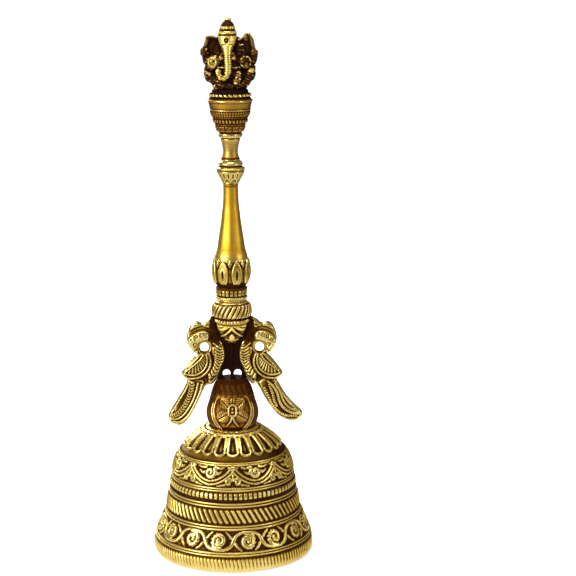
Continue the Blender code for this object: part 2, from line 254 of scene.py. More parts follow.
def turned_relief(name, outer, around, relief, closing, step=0.3, rows=None):
    """A closed body of revolution with raised work on its outer side.

    outer: (radius, height) points of the outer side, from the foot up, joined by a smooth curve.
    closing: (radius, height) points from the top of the outer side back to its foot, through the inside.
    relief(theta, z, s): height in mm, for a row of angles, and columns of heights and arc lengths.
    rows: the heights of the rows; by default they are `step` apart along the curve.
    """
    curve = catmull(outer)
    if rows is None:
        total = length_of(curve)
        stations = np.linspace(0, total, max(4, int(total / step)))
    else:
        stations = np.interp(rows, curve[:, 1], run_along(curve))
    profile = by_length(curve, stations)
    tangent = np.gradient(profile, stations, axis=0)
    tangent /= np.linalg.norm(tangent, axis=1)[:, None]
    normal = np.column_stack([tangent[:, 1], -tangent[:, 0]])
    theta = np.arange(around) * FULL_TURN / around
    raised = relief(theta[None, :], profile[:, 1:2], stations[:, None])
    height = np.broadcast_to(raised, (len(profile), around))
    r = profile[:, :1] + normal[:, :1] * height
    z = profile[:, 1:2] + normal[:, 1:] * height
    for radius, level in closing:
        r = np.vstack([r, np.full((1, around), radius)])
        z = np.vstack([z, np.full((1, around), level)])
    points = np.stack([r * np.sin(theta), -r * np.cos(theta), z], axis=-1).reshape(-1, 3)
    count = len(r)
    row, column = np.meshgrid(np.arange(count), np.arange(around), indexing="ij")
    up, across = (row + 1) % count, (column + 1) % around
    corners = [row * around + column, row * around + across, up * around + across, up * around + column]
    faces = np.stack(corners, axis=-1).reshape(-1, 4)
    obj = new_mesh(name, points, faces.tolist())
    smooth_shade(obj)
    return obj


def signed_distance(X, Z, outline):
    """Distance to a closed outline, positive inside it."""
    closed = np.vstack([outline, outline[:1]])
    distance, _ = nearest(X, Z, closed)
    within = np.zeros(X.shape, bool)
    for (ax, az), (bx, bz) in zip(closed, closed[1:]):
        if az != bz:
            crosses = ((az > Z) != (bz > Z)) & (X < (bx - ax) * (Z - az) / (bz - az) + ax)
            within ^= crosses
    return np.where(within, distance, -distance)


def pad(X, Z, outline, height, rounding):
    """A raised flat area with rounded edges, inside a smooth closed curve through outline."""
    d = signed_distance(X, Z, catmull(outline, 5, closed=True))
    return height * np.sqrt(np.clip(1 - (1 - np.clip(d / rounding, 0, 1)) ** 2, 0, 1))


def flat_casting(name, outline, depth, holes=(), side=1, step=0.17):
    """A casting in the XZ plane with the same relief on its front and its back.

    depth(X, Z, d): half the thickness in mm at each place, where d is the distance from the edge.
    side is -1 for the mirror image.
    """
    edge = catmull(outline, 6, closed=True)
    low, high = edge.min(axis=0) - step, edge.max(axis=0) + step
    X, Z = np.meshgrid(np.arange(low[0], high[0], step), np.arange(low[1], high[1], step))
    d = signed_distance(X, Z, edge)
    for x, z, radius in holes:
        d = np.minimum(d, np.hypot(X - x, Z - z) - radius)
    kept = d > 0.3 * step
    cell = kept[:-1, :-1] & kept[1:, :-1] & kept[:-1, 1:] & kept[1:, 1:]
    count = np.zeros(X.shape, int)
    for i in (0, 1):
        for j in (0, 1):
            count[i:i + cell.shape[0], j:j + cell.shape[1]] += cell
    rim = (count > 0) & (count < 4)
    slope_z, slope_x = np.gradient(d, step)
    steep = np.maximum(slope_x**2 + slope_z**2, 0.3)
    half = np.where(rim, 0, depth(X, Z, np.maximum(d, 0)))
    X = np.where(rim, X - d * slope_x / steep, X)
    Z = np.where(rim, Z - d * slope_z / steep, Z)
    used = count > 0
    front = np.full(X.shape, -1)
    front[used] = np.arange(used.sum())
    back = np.where(rim, front, -1)
    behind = used & ~rim
    back[behind] = used.sum() + np.arange(behind.sum())
    near = np.column_stack([side * X[used], -half[used], Z[used]])
    far = np.column_stack([side * X[behind], half[behind], Z[behind]])
    faces = []
    for layer, order in ((front, 1), (back, -1)):
        corners = [layer[:-1, :-1], layer[:-1, 1:], layer[1:, 1:], layer[1:, :-1]]
        quads = np.stack(corners, axis=-1)[cell]
        faces.append(quads[:, ::order * side])
    obj = new_mesh(name, np.vstack([near, far]), np.vstack(faces).tolist())
    smooth_shade(obj, 70)
    return obj


def add_piece(obj, body, material, node):
    """Puts the material on a finished piece, ties it to its CAD body and hides the CAD node it replaces."""
    obj.data.materials.clear()
    obj.data.materials.append(material)
    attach(obj, body)
    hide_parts(node)


def turned_piece(name, outer, around, relief, closing, step, slot, material, **wear_and_shade):
    """A turned casting of the bell, given patina, wear and painted shade, and tied to the CAD node of its
    name.
    """
    piece = turned_relief(name, outer, around, relief, closing, step)
    weather_and_shade(piece, **wear_and_shade)
    add_piece(piece, "bell", material, name)


# ================================================================ materials
def node_tree(name):
    material = bpy.data.materials.new(name)
    material.use_nodes = True
    tree = material.node_tree
    return material, tree, tree.nodes["Principled BSDF"]


def noise_node(tree, scale, detail, roughness=0.55):
    coordinates = tree.nodes.new("ShaderNodeTexCoord")
    noise = tree.nodes.new("ShaderNodeTexNoise")
    noise.inputs["Scale"].default_value = scale
    noise.inputs["Detail"].default_value = detail
    noise.inputs["Roughness"].default_value = roughness
    tree.links.new(coordinates.outputs["Object"], noise.inputs["Vector"])
    return noise


def math_node(tree, operation, *values, clamp=False):
    node = tree.nodes.new("ShaderNodeMath")
    node.operation = operation
    node.use_clamp = clamp
    for socket, value in zip(node.inputs, values):
        if isinstance(value, (int, float)):
            socket.default_value = value
        else:
            tree.links.new(value, socket)
    return node.outputs[0]


def ramp_node(tree, factor, stops):
    node = tree.nodes.new("ShaderNodeValToRGB")
    ramp = node.color_ramp
    while len(ramp.elements) < len(stops):
        ramp.elements.new(0.5)
    for element, (place, colour) in zip(ramp.elements, stops):
        element.position = place
        element.color = (*colour, 1.0)
    tree.links.new(factor, node.inputs["Fac"])
    return node.outputs["Color"]


def map_range(tree, value, before, after):
    """Value carried from one range to another, and held at its ends."""
    node = tree.nodes.new("ShaderNodeMapRange")
    node.inputs["From Min"].default_value, node.inputs["From Max"].default_value = before
    node.inputs["To Min"].default_value, node.inputs["To Max"].default_value = after
    tree.links.new(value, node.inputs["Value"])
    return node.outputs["Result"]


SPECKLE = 0.22           # how far the fine speckle moves the tone, in all


def aged_brass(name, stops, lift=0.0, rough=(0.75, 0.26), metal=(0.5, 0.95), mottling=0.3, grain=0.5):
    """Metal whose colour and gloss follow `wear_and_shade` (patina, wear, painted shade and painted light),
    with blotches, fine speckle and a cast grain.

    stops: (tone, colour) from the darkest patina and painted shade to bare metal.  lift is added to the tone.
    rough and metal: roughness and metalness at the dark end and at the bright end.
    """
    material, tree, shader = node_tree(name)
    # The map read here holds patina and wear, with painted shade and painted light in it.
    wear_and_shade = tree.nodes.new("ShaderNodeAttribute")
    wear_and_shade.attribute_name = "wear_and_shade"
    blotch = noise_node(tree, 160, 3)
    speckle = noise_node(tree, 1300, 4, 0.65)
    uneven = math_node(tree, "MULTIPLY_ADD", blotch.outputs["Fac"], mottling, lift - mottling / 2)
    fine = math_node(tree, "MULTIPLY_ADD", speckle.outputs["Fac"], SPECKLE, -SPECKLE / 2)
    toned = math_node(tree, "ADD", wear_and_shade.outputs["Fac"], uneven)
    factor = math_node(tree, "ADD", toned, fine, clamp=True)
    tree.links.new(ramp_node(tree, factor, stops), shader.inputs["Base Color"])
    tree.links.new(map_range(tree, factor, (0.0, 1.0), rough), shader.inputs["Roughness"])
    shader.inputs["Metallic"].default_value = metal[1]
    if metal[0] < metal[1]:
        tree.links.new(map_range(tree, factor, (0.1, 0.6), metal), shader.inputs["Metallic"])
    shader.inputs["Specular IOR Level"].default_value = 0.04
    cast = noise_node(tree, 2600, 3)
    bump = tree.nodes.new("ShaderNodeBump")
    bump.inputs["Strength"].default_value = grain
    bump.inputs["Distance"].default_value = 0.00006
    tree.links.new(cast.outputs["Fac"], bump.inputs["Height"])
    tree.links.new(bump.outputs["Normal"], shader.inputs["Normal"])
    return material


ANTIQUE_STOPS = [
    (0.0, (0.030, 0.008, 0.001)),
    (0.26, (0.095, 0.040, 0.004)),
    (0.42, (0.27, 0.150, 0.013)),
    (0.58, (0.70, 0.46, 0.055)),
    (1.0, (1.0, 0.82, 0.30)),
]
DARK_STOPS = [
    (0.0, (0.014, 0.004, 0.002)),
    (0.40, (0.050, 0.018, 0.005)),
    (0.62, (0.22, 0.12, 0.025)),
    (0.80, (0.66, 0.44, 0.08)),
    (1.0, (0.94, 0.73, 0.20)),
]
POLISHED_STOPS = [
    (0.0, (0.07, 0.03, 0.003)),
    (0.25, (0.34, 0.18, 0.014)),
    (0.45, (0.74, 0.40, 0.030)),
    (0.75, (1.0, 0.68, 0.11)),
    (1.0, (1.0, 0.72, 0.16)),
]
UMBER_STOPS = [
    (0.0, (0.036, 0.009, 0.001)),
    (0.26, (0.110, 0.040, 0.005)),
    (0.42, (0.28, 0.135, 0.016)),
    (0.58, (0.68, 0.39, 0.055)),
    (1.0, (1.0, 0.78, 0.28)),
]
PLAIN_STOPS = [
    (0.0, (0.10, 0.055, 0.018)),
    (0.5, (0.46, 0.31, 0.10)),
    (1.0, (0.72, 0.53, 0.22)),
]
STEEL_STOPS = [
    (0.0, (0.10, 0.09, 0.08)),
    (0.5, (0.34, 0.33, 0.31)),
    (1.0, (0.52, 0.51, 0.49)),
]

ANTIQUE = aged_brass("antique_brass", ANTIQUE_STOPS)
UMBER = aged_brass("umber_brass", UMBER_STOPS, mottling=0.4)
DARK = aged_brass("dark_brass", DARK_STOPS, metal=(0.5, 0.75), mottling=0.35)
POLISHED = aged_brass(
    "polished_brass", POLISHED_STOPS, rough=(0.5, 0.40), metal=(0.6, 1.0), mottling=0.22, grain=0.25
)
# The two for the CAD meshes, which carry no `wear_and_shade`: lift alone sets their tone.
PLAIN = aged_brass("plain_brass", PLAIN_STOPS, lift=0.5, rough=(0.5, 0.35), metal=(1.0, 1.0))
STEEL = aged_brass("fastener_steel", STEEL_STOPS, lift=0.5, rough=(0.5, 0.38), metal=(1.0, 1.0))

BOLT_HOLE = 2.8          # radius, where the bolt passes the cup, the rosette and the vase
TIE_HOLE = 1.9           # radius, where the tie rod passes the handle castings


# ================================================================ bell cup
CUP_AROUND = 640
UPPER_PERIODS = 4
LOWER_PERIODS = 8
LOWER_BAND = (8.4, 16.1)
UPPER_BAND = (33.4, 41.5)
FLUTE_BAND = (18.9, 24.5)
BEAD_BAND = (28.2, 31.0)
LIP_REEDS = 132
FLUTES = 72
FLUTE_LEAN = 3.0         # how far a flute's top lies beside its foot
BEADS = 80
FLUTE_RADIUS = 27.0      # of the cup in the middle of the flutes
CUP_RINGS = (6.9, 7.85, 16.6, 17.7, 25.4, 26.6, 31.9, 32.85, 41.6, 42.35)      # heights of plain raised rings


def tiled(theta, periods, radius, z, pattern):
    """Evaluates pattern(x, y) in mm for one period, x from 0 to its width, and repeats it round the cup."""
    columns = theta.shape[1] // periods
    width = FULL_TURN * radius / periods
    x = np.arange(columns) * width / columns
    X, Y = np.meshgrid(x, z[:, 0])
    return np.tile(pattern(X, Y, width), (1, periods))


def repeat_strokes(X, Y, width, draw):
    """draw() evaluated in the tile and in its two neighbours, so that strokes cross the seam."""
    return overlay(draw(X, Y), draw(X - width, Y), draw(X + width, Y))


def running_scroll(X, Y, width):
    """Lower band: a swelling vine with a fat toothed volute in every bend, and leaves in the corners."""
    low, high = LOWER_BAND
    middle = (low + high) / 2
    half_way = width / 2
    swing = (high - low) / 2 - 0.5
    centre = np.array([width / 4, middle - 0.1])

    def vine(start, end):
        t = np.linspace(start, end, 16)
        x = width * (t - 0.05 * np.sin(2 * FULL_TURN * t))
        return np.column_stack([x, middle + swing * np.sin(FULL_TURN * t)])

    def half(X, Y):
        away = np.hypot(X - centre[0], Y - centre[1])
        angle = np.arctan2(Y - centre[1], X - centre[0])
        ring = stroke(X, Y, spiral(centre, 3.05, 1.35, 100, -1.12), 1.0, 0.8, 0.9)
        swirl = stroke(X, Y, spiral(centre + (0.2, -0.1), 0.9, 0.3, 120, -0.55), 0.65, 0.75, 0.9)
        lit = smoothstep(0.2, -0.5, np.sin(angle - 0.6))
        teeth = 0.5 * wave(angle * 13 / FULL_TURN, 1.5) * smoothstep(2.2, 3.0, away) * lit
        above = [(half_way + 0.9, middle + 1.1), (half_way + 1.7, middle + 2.3), (half_way + 3.1, high - 0.5)]
        below = [(0.9, middle - 1.1), (1.7, middle - 2.3), (3.1, low + 0.5)]
        leaves = [stroke(X, Y, path, 0.55, 0.3, 0.7) for path in (above, below)]
        return overlay(ring - teeth * (ring > 0), swirl, *leaves)

    def draw(X, Y):
        stems = []
        for start, thin, end in ((0.0, 0.24, 0.5), (0.5, 0.74, 1.0)):
            stems.append(stroke(X, Y, vine(start, thin), 0.85, 0.4, 0.8))
            stems.append(stroke(X, Y, vine(thin, end), 0.4, 0.85, 0.8))
        return overlay(*stems, half(X, Y), half(width - X, 2 * middle - Y))

    return repeat_strokes(X, Y, width, draw)


def garland_scroll(X, Y, width):
    """Upper band: hanging garlands of two lines, a large volute in each, and paired curls below the peaks."""
    low, high = UPPER_BAND
    pitch = width / 2
    bottom = low + 1.6
    rise = high - 1.0 - bottom
    t = np.linspace(0, 1, 49)
    curve = np.column_stack([pitch * t, bottom + rise * (1 - np.sin(math.pi * t) ** 0.85)])
    along = np.gradient(curve, axis=0)
    across = np.column_stack([-along[:, 1], along[:, 0]]) / np.linalg.norm(along, axis=1)[:, None]
    centre = np.array([pitch / 2 + 0.1, high - 2.65])

    def garland(X, Y):
        lines = overlay(*[stroke(X, Y, curve + shift * across, 0.42, 0.42, 0.85) for shift in (-0.68, 0.68)])
        volute = stroke(X, Y, spiral(centre, 2.4, 0.45, 140, 1.25), 0.8, 0.6, 0.9)
        sprigs = []
        for path in (
            [(2.0, 1.9), (3.9, 1.6), (5.9, 1.9)], [(2.6, -0.1), (3.7, -0.2), (4.9, 0.6)],
            [(-2.0, 1.9), (-3.9, 1.6), (-6.1, 1.9)], [(-2.7, -0.2), (-3.8, -0.2), (-5.1, 0.6)],
        ):
            sprigs.append(curved_stroke(X, Y, [centre + point for point in path], 0.65, 0.25, 0.75))
        return overlay(lines, volute, *sprigs)

    def curls(X, Y):
        bead = dot(X, Y, (0, high - 0.9), 0.8, 0.8)
        bar = stroke(X, Y, [(-1.9, high - 0.7), (1.9, high - 0.7)], 0.4, 0.4, 0.6)
        side = np.abs(X)
        curl = stroke(side, Y, spiral((1.75, low + 2.0), 1.5, 0.4, 150, -1.1), 0.55, 0.4, 0.8)
        drop = stroke(side, Y, [(0.0, high - 3.6), (0.0, high - 4.9)], 0.6, 0.3, 0.7)
        foot = curved_stroke(side, Y, [(3.4, low + 1.0), (4.6, low + 0.7), (6.4, low + 0.5)], 0.45, 0.3, 0.6)
        return overlay(bead, bar, curl, drop, foot)

    def draw(X, Y):
        return overlay(garland(X, Y), garland(2 * pitch - X, Y), curls(X, Y), curls(X - pitch, Y))

    return repeat_strokes(X, Y, width, draw)


def cup_relief(theta, z, s):
    """Reeded lip, scroll band, slanted flutes, bead row and garland band, with plain rings between them."""
    turn = theta / FULL_TURN
    height = np.zeros(np.broadcast_shapes(theta.shape, z.shape))
    uneven = 0.75 + 0.25 * np.sin(11 * theta + 1.3) * np.sin(17 * theta)
    height += 0.62 * uneven * wave(turn * LIP_REEDS + 0.12 * z, 1.1) * inside(z, 0.5, 5.9, 0.7)
    for centre in CUP_RINGS:
        height += ridge(z, centre, 0.38, 0.4)
    height += tiled(theta, LOWER_PERIODS, 29.5, z, running_scroll) * inside(z, *LOWER_BAND, 0.15)
    height += tiled(theta, UPPER_PERIODS, 24.6, z, garland_scroll) * inside(z, *UPPER_BAND, 0.15)
    low, high = FLUTE_BAND
    lean = (z - low) * FLUTE_LEAN / (high - low) / (FULL_TURN * FLUTE_RADIUS)
    height += 0.75 * wave((turn + lean) * FLUTES, 2.2) * inside(z, low, high, 0.5)
    low, high = BEAD_BAND
    across = np.abs((turn * BEADS) % 1 - 0.5) * 2
    bead = 1 - smoothstep(0.55, 0.85, across)
    height += 0.6 * bead * inside(z, low, high, 0.7)
    return height


def band_rows(bands):
    """Row heights: (low, high, spacing) for each band in turn, meeting end to end."""
    rows = [bands[0][0]]
    for low, high, spacing in bands:
        count = max(1, round((high - low) / spacing))
        rows += list(np.linspace(low, high, count + 1)[1:])
    return np.array(rows)


def make_bell_cup():
    rim, crown = levels("bell_cup")
    outer = [
        (31.9, rim), (32.4, 1.2), (32.6, 3.2), (32.5, 5.2), (32.2, 7.0), (31.2, 9.2), (29.6, 12.2),
        (28.4, 15.8), (27.3, 19.4), (26.5, 24.0), (25.8, 28.2), (25.2, 32.0), (24.4, 36.0), (23.2, 39.5),
        (21.9, 42.2), (20.9, 43.6), (19.9, 44.4),
    ]
    closing = [
        (16.4, 46.8), (12.0, 49.8), (9.3, crown), (BOLT_HOLE, crown), (BOLT_HOLE, 47.0), (9.0, 47.0),
        (13.0, 46.6), (17.5, 44.2), (20.6, 40.6), (22.6, 36.0), (24.0, 28.0), (25.2, 20.0), (26.6, 12.0),
        (28.2, 7.0), (29.0, 2.5), (30.0, 0.4), (30.5, rim), (31.4, rim),
    ]
    rows = band_rows([
        (0.0, 0.6, 0.2), (0.6, 6.4, 0.64), (6.4, 8.4, 0.22), (8.4, 16.1, 0.3), (16.1, 18.2, 0.23),
        (18.2, 24.9, 0.5), (24.9, 27.2, 0.23), (27.2, 31.4, 0.35), (31.4, 33.4, 0.22), (33.4, 41.2, 0.3),
        (41.2, 42.8, 0.2), (42.8, 44.4, 0.5),
    ])
    cup = turned_relief("bell_cup", outer, CUP_AROUND, cup_relief, closing, rows=rows)

    def tone(co, n):
        # Painted shade inside the top of the cup.
        hollow = -0.35 * smoothstep(0.0, 2.0, 22.0 - np.hypot(co[:, 0], co[:, 1])) * (co[:, 2] < 43)
        # Painted shadow on the shoulder, under the rosette's edge.
        shoulder = -0.95 * smoothstep(42.5, 42.9, co[:, 2]) * (np.abs(n[:, 2]) < 0.95)
        # Painted light on the left side and painted shade on the right, as from the key light on the left.
        side = 0.10 * smoothstep(-2.0, -20.0, co[:, 0]) - 0.50 * smoothstep(4.0, 26.0, co[:, 0])
        scrolls = 0.09 * inside(co[:, 2], *LOWER_BAND) + 0.05 * inside(co[:, 2], *UPPER_BAND)
        return hollow + shoulder + 0.04 + side + scrolls

    weather_and_shade(cup, fine=1.3, extra=tone)
    add_piece(cup, "bell", ANTIQUE, "bell_cup")


# ================================================================ crown rosette
PETALS = 22
ROSETTE_AROUND = 704


def petal_relief(theta, z, s):
    """Petals with a bright U-shaped rim round a dark hollow, scalloped tips, and a rough collar inside."""
    total = float(s.max())
    from_centre = total - s                       # 0 at the vase, `total` at the edge of the cap
    u = np.abs((theta * PETALS / FULL_TURN + 0.5) % 1 - 0.5) * 2
    radius = np.interp(s, [0, total], [21.5, 7.6])
    half_pitch = math.pi * radius / PETALS
    reach = total - 1.7
    to_tip = reach - 1.9 * u**2.2 - from_centre
    to_side = (1 - u) * half_pitch
    root = 5.2
    petal = smoothstep(-0.15, 0.35, to_tip)
    hollow = smoothstep(1.05, 1.6, np.minimum(to_tip, to_side + 0.15))
    hollow = hollow * smoothstep(root, root + 1.2, from_centre)
    seam = (1 - smoothstep(0.0, 0.35, to_side)) * smoothstep(reach - 5.0, reach - 2.5, from_centre)
    spring = ridge(from_centre, root - 0.6, 0.9, 0.3) + ridge(from_centre, root - 2.8, 1.0, 0.3)
    lobes = 0.14 * np.sin(theta * 31) * np.sin(from_centre * 2.1) * inside(from_centre, 0.8, root, 0.5)
    return 1.15 * petal - 1.2 * hollow - 0.45 * seam * petal + spring + lobes - 0.5


def make_crown_rosette():
    outer = [
        (21.5, 43.05), (20.4, 44.2), (19.0, 45.8), (17.3, 47.5), (15.1, 49.2), (12.6, 50.7), (9.6, 51.6),
        (7.6, 51.8),
    ]
    closing = [
        (5.0, 51.8), (BOLT_HOLE, 51.8), (BOLT_HOLE, 50.9), (9.4, 50.9), (12.1, 50.1), (14.6, 48.8),
        (16.7, 47.1), (19.2, 44.2),
    ]

    def tone(co, n):
        radius = np.hypot(co[:, 0], co[:, 1])
        # Painted shade on the rosette's outer lip, where it overhangs the cup.
        beyond = smoothstep(20.5, 20.8, radius)
        # Painted light on the left side and painted shade on the right, as from the key light on the left.
        side = 0.12 * smoothstep(-4.0, -14.0, co[:, 0]) - 0.36 * smoothstep(4.0, 16.0, co[:, 0])
        return side - 1.5 * beyond

    turned_piece("crown_rosette", outer, ROSETTE_AROUND, petal_relief, closing, 0.26,
                 "antique_brass", ANTIQUE, fine=1.3, broad=1.0, base=0.46, extra=tone)


# ================================================================ vase boss
def vase_relief(theta, z, s):
    """A framed panel of leaves round a small boss on the front, and the same on the back."""
    side = (theta + math.pi / 2) % math.pi - math.pi / 2      # angle from the nearer panel's middle
    degrees = np.degrees(np.abs(side))
    levels = [52.4, 54.5, 57.4, 61.0, 64.4, 66.0, 67.0, 67.6, 68.2]
    edge = np.interp(z, levels, [33, 41, 49, 55, 55, 50, 20, -10, -30])      # degrees to the frame
    to_edge = (edge - degrees) * math.pi / 180 * 9.8                         # mm inside the frame
    frame_line = (ridge(to_edge, 0.0, 0.4, 0.3) + ridge(to_edge, 1.1, 0.36, 0.2)) * smoothstep(64.6, 62.6, z)
    sunk = -0.4 * smoothstep(1.3, 1.9, to_edge) * smoothstep(66.8, 64.0, z)
    X = side * 10.3 + 0 * z
    Y = z + 0 * side
    middle = 61.2
    corners = [(-1.6, 0), (-1.1, 1.9), (1.1, 1.9), (1.6, 0), (1.1, -1.9), (-1.1, -1.9)]
    rim = catmull([(x, middle + y) for x, y in corners], 5, closed=True)
    leaves = stroke(X, Y, np.vstack([rim, rim[:1]]), 0.42, 0.42, 0.75)
    for offset in (0.7, -0.7):
        leaves = overlay(leaves, dot(X, Y, (0, middle + offset), 0.5, 0.55))
    blades = [(36, 7.4, 2.7), (144, 7.4, 2.7), (-33, 7.8, 3.0), (-147, 7.8, 3.0), (90, 5.2, 1.5)]
    for angle, reach, broad in blades:
        away = np.array([math.cos(math.radians(angle)), math.sin(math.radians(angle))])
        root = np.array([0, middle]) + away * 2.4
        tip = np.array([0, middle]) + away * reach
        distance, along = nearest(X, Y, [root, tip])
        half = broad * np.sin(math.pi * np.clip(along * 0.8 + 0.18, 0, 1)) ** 0.8 + 0.05
        leaf = 0.6 * np.sqrt(np.clip(1 - (distance / half) ** 2, 0, 1))
        vein = 0.4 * (1 - smoothstep(0.12, 0.36, distance)) * (leaf > 0.1)
        barbs = 0.28 * wave(along * 5 + distance * 0.9, 0.8) * (leaf > 0.1)
        leaves = overlay(leaves, leaf - vein - barbs)
    for sign in (-1, 1):
        stem = catmull([(0, middle - 2.2), (sign * 0.9, middle - 4.6), (sign * 2.6, middle - 6.8)], 6)
        leaves = overlay(leaves, stroke(X, Y, stem, 0.45, 0.3, 0.7))
    return frame_line + sunk + leaves * smoothstep(1.2, 1.8, to_edge)


def make_vase_boss():
    foot, top = levels("vase_boss")
    outer = [
        (9.9, foot), (9.2, 53.0), (9.9, 54.0), (10.5, 55.8), (10.8, 58.0), (10.5, 60.3), (9.5, 63.5),
        (8.6, 67.0), (7.6, 69.8), (6.4, 71.9), (5.8, top),
    ]
    closing = [(3.0, top), (0.6, top), (0.6, 66.0), (BOLT_HOLE, 65.3), (BOLT_HOLE, foot), (6.0, foot)]

    def tone(co, n):
        # Darker up the neck; its top, under the yoke and the birds, is painted black as shade.
        neck = -0.30 * smoothstep(66.0, 68.0, co[:, 2]) - 4.0 * smoothstep(71.0, 71.6, co[:, 2])
        streaks = 0.07 * np.sin(co[:, 0] * 2.7 + 1.2 * np.sin(co[:, 2])) * (co[:, 2] > 66)
        # Painted shade on the sides turned to the left and right.
        return neck + streaks - 0.25 * smoothstep(0.55, 0.9, np.abs(n[:, 0]))

    turned_piece("vase_boss", outer, 420, vase_relief, closing, 0.22, "antique_brass", UMBER,
                 base=0.32, extra=tone)


# ================================================================ birds and yoke
OUTER_HOLE = (11.3, 85.6, 1.9)          # x, height and radius of the hole in each bird
INNER_HOLE = (2.3, 74.5, 1.6)           # and of the pair of holes in the web

BIRD_EDGE = [
    (7.4, 98.9), (10.4, 97.4), (12.2, 95.9), (14.3, 96.5), (16.4, 95.5), (17.9, 92.5), (18.4, 90.3),
    (18.3, 88.2), (17.7, 86.3), (16.8, 84.8), (15.6, 83.5), (14.5, 83.1), (15.6, 82.0), (17.1, 80.3),
    (19.2, 77.5), (20.8, 74.9), (19.9, 73.2), (18.3, 72.2), (19.9, 69.3), (21.7, 66.2), (24.4, 62.7),
    (26.6, 60.5), (28.4, 58.9), (29.0, 57.2), (28.1, 55.5), (26.0, 54.3), (23.6, 54.4), (21.2, 55.2),
    (18.4, 57.1), (15.7, 60.5), (13.6, 63.7), (12.0, 66.8), (10.8, 69.0), (9.8, 70.4), (8.4, 69.9),
    (6.6, 71.8), (5.2, 74.2), (4.3, 77.2), (3.0, 80.4), (2.8, 83.5), (3.3, 86.3), (4.8, 89.6), (6.2, 92.6),
    (6.6, 95.8), (6.8, 98.2),
]
LEFT_TAIL_EDGE = [
    (18.5, 72.0), (19.6, 69.0), (21.4, 66.0), (23.2, 62.9), (25.0, 60.0), (26.3, 57.6), (26.4, 55.4),
    (25.0, 53.5), (22.4, 52.7), (20.2, 53.4), (18.2, 55.2), (16.2, 58.6), (14.6, 61.6), (13.2, 64.6),
    (12.0, 67.4), (10.8, 69.4),
]
HEAD = [
    (9.0, 91.0), (9.6, 92.5), (11.4, 93.2), (13.7, 93.0), (16.1, 91.7), (18.2, 89.8), (18.3, 88.2),
    (17.6, 86.2), (16.6, 84.8), (15.4, 83.6), (14.2, 83.4), (13.4, 84.2), (13.9, 86.0), (13.3, 87.6),
    (11.6, 88.4), (9.6, 88.8),
]
CREST = [
    (9.4, 93.9), (11.6, 94.6), (13.9, 94.4), (16.1, 93.3), (17.9, 91.6), (17.6, 93.4), (16.2, 95.7),
    (14.3, 96.4), (12.4, 95.8), (10.6, 97.0), (9.0, 97.6), (8.6, 95.6),
]
NECK = [
    (7.2, 98.4), (8.9, 97.7), (9.0, 95.0), (9.3, 92.6), (8.7, 90.3), (8.9, 88.3), (9.3, 86.0), (8.6, 84.4),
    (6.0, 84.6), (3.4, 86.2), (5.0, 89.4), (6.4, 92.6), (6.7, 95.8),
]
BREAST = [
    (3.0, 86.0), (2.9, 83.5), (3.1, 80.6), (4.4, 77.4), (5.6, 74.6), (9.4, 72.0), (10.6, 74.4), (8.6, 77.4),
    (8.0, 80.6), (8.6, 84.0), (8.4, 86.2), (5.6, 87.4),
]
WING = [
    (9.3, 84.0), (8.2, 80.6), (8.5, 77.4), (10.4, 74.5), (13.0, 72.8), (16.0, 72.2), (18.6, 72.6),
    (20.7, 74.7), (19.2, 77.3), (17.0, 80.0), (14.6, 82.6), (12.4, 84.0), (10.6, 84.2),
]
TAIL = [
    (10.6, 71.0), (13.0, 73.0), (16.6, 72.8), (18.3, 72.0), (19.8, 69.3), (21.6, 66.2), (24.3, 62.7),
    (26.5, 60.5), (28.4, 58.9), (29.0, 57.2), (28.1, 55.5), (26.0, 54.4), (23.6, 54.5), (21.3, 55.3),
    (18.5, 57.2), (15.8, 60.6), (13.7, 63.8), (12.1, 66.9),
]
LEGS = [(5.4, 74.4), (8.0, 73.4), (10.2, 72.2), (9.8, 70.6), (8.4, 70.2), (6.8, 71.8)]


def bird_head(X, Z):
    """Crest, head with two ringed eyes and a downturned beak."""
    crest = pad(X, Z, CREST, 2.9, 0.8)
    rough = 0.10 * np.sin(X * 3.1 + Z) * np.sin(Z * 2.7 - X)
    head = pad(X, Z, HEAD, 3.0, 0.9)
    head = head + (0.45 * smoothstep(0.3, 2.2, signed_distance(X, Z, np.array(HEAD))) + rough) * (head > 1)
    for centre, radius in (((15.1, 87.2), 1.0), ((14.6, 90.6), 0.85)):
        pupil = radius * 0.42
        within = np.hypot(X - centre[0], Z - centre[1]) < pupil
        head = head - 0.55 * dot(X, Z, centre, radius, 1.0) * (head > 1)
        head = overlay(head, (3.0 + dot(X, Z, centre, pupil, 0.35)) * within)
    mouth = stroke(X, Z, [(12.6, 86.0), (14.0, 85.3), (15.4, 84.6)], 0.32, 0.2, 0.8)
    lines = stroke(X, Z, [(8.6, 95.8), (10.2, 95.4), (12.4, 95.0)], 0.3, 0.25, 0.6)
    return overlay(crest - lines, head - mouth)


def bird_breast(X, Z):
    """Breast with short feathers across it, and the plain neck above."""
    breast = pad(X, Z, BREAST, 2.5, 1.4)
    path = [(4.6, 87.0), (5.0, 83.5), (5.0, 80.5), (6.2, 77.0), (8.8, 73.0)]
    distance, along = nearest(X, Z, catmull(path, 5))
    feathers = 0.7 * wave(along * 11 + distance * 0.35, 0.9) * smoothstep(2.4, 1.7, distance) * (breast > 1)
    inner = stroke(X, Z, [(3.4, 85.8), (3.3, 83.5), (3.6, 80.8), (4.9, 77.8)], 0.35, 0.35, 0.45)
    neck = pad(X, Z, NECK, 1.8, 2.2)
    folds = stroke(X, Z, [(3.8, 86.6), (5.4, 86.0), (7.6, 87.6)], 0.5, 0.3, 0.6) * (neck > 0)
    folds = overlay(folds, stroke(X, Z, [(8.2, 91.6), (8.0, 90.0), (8.4, 88.4)], 0.4, 0.25, 0.4))
    return overlay(breast + feathers + inner, neck + folds)


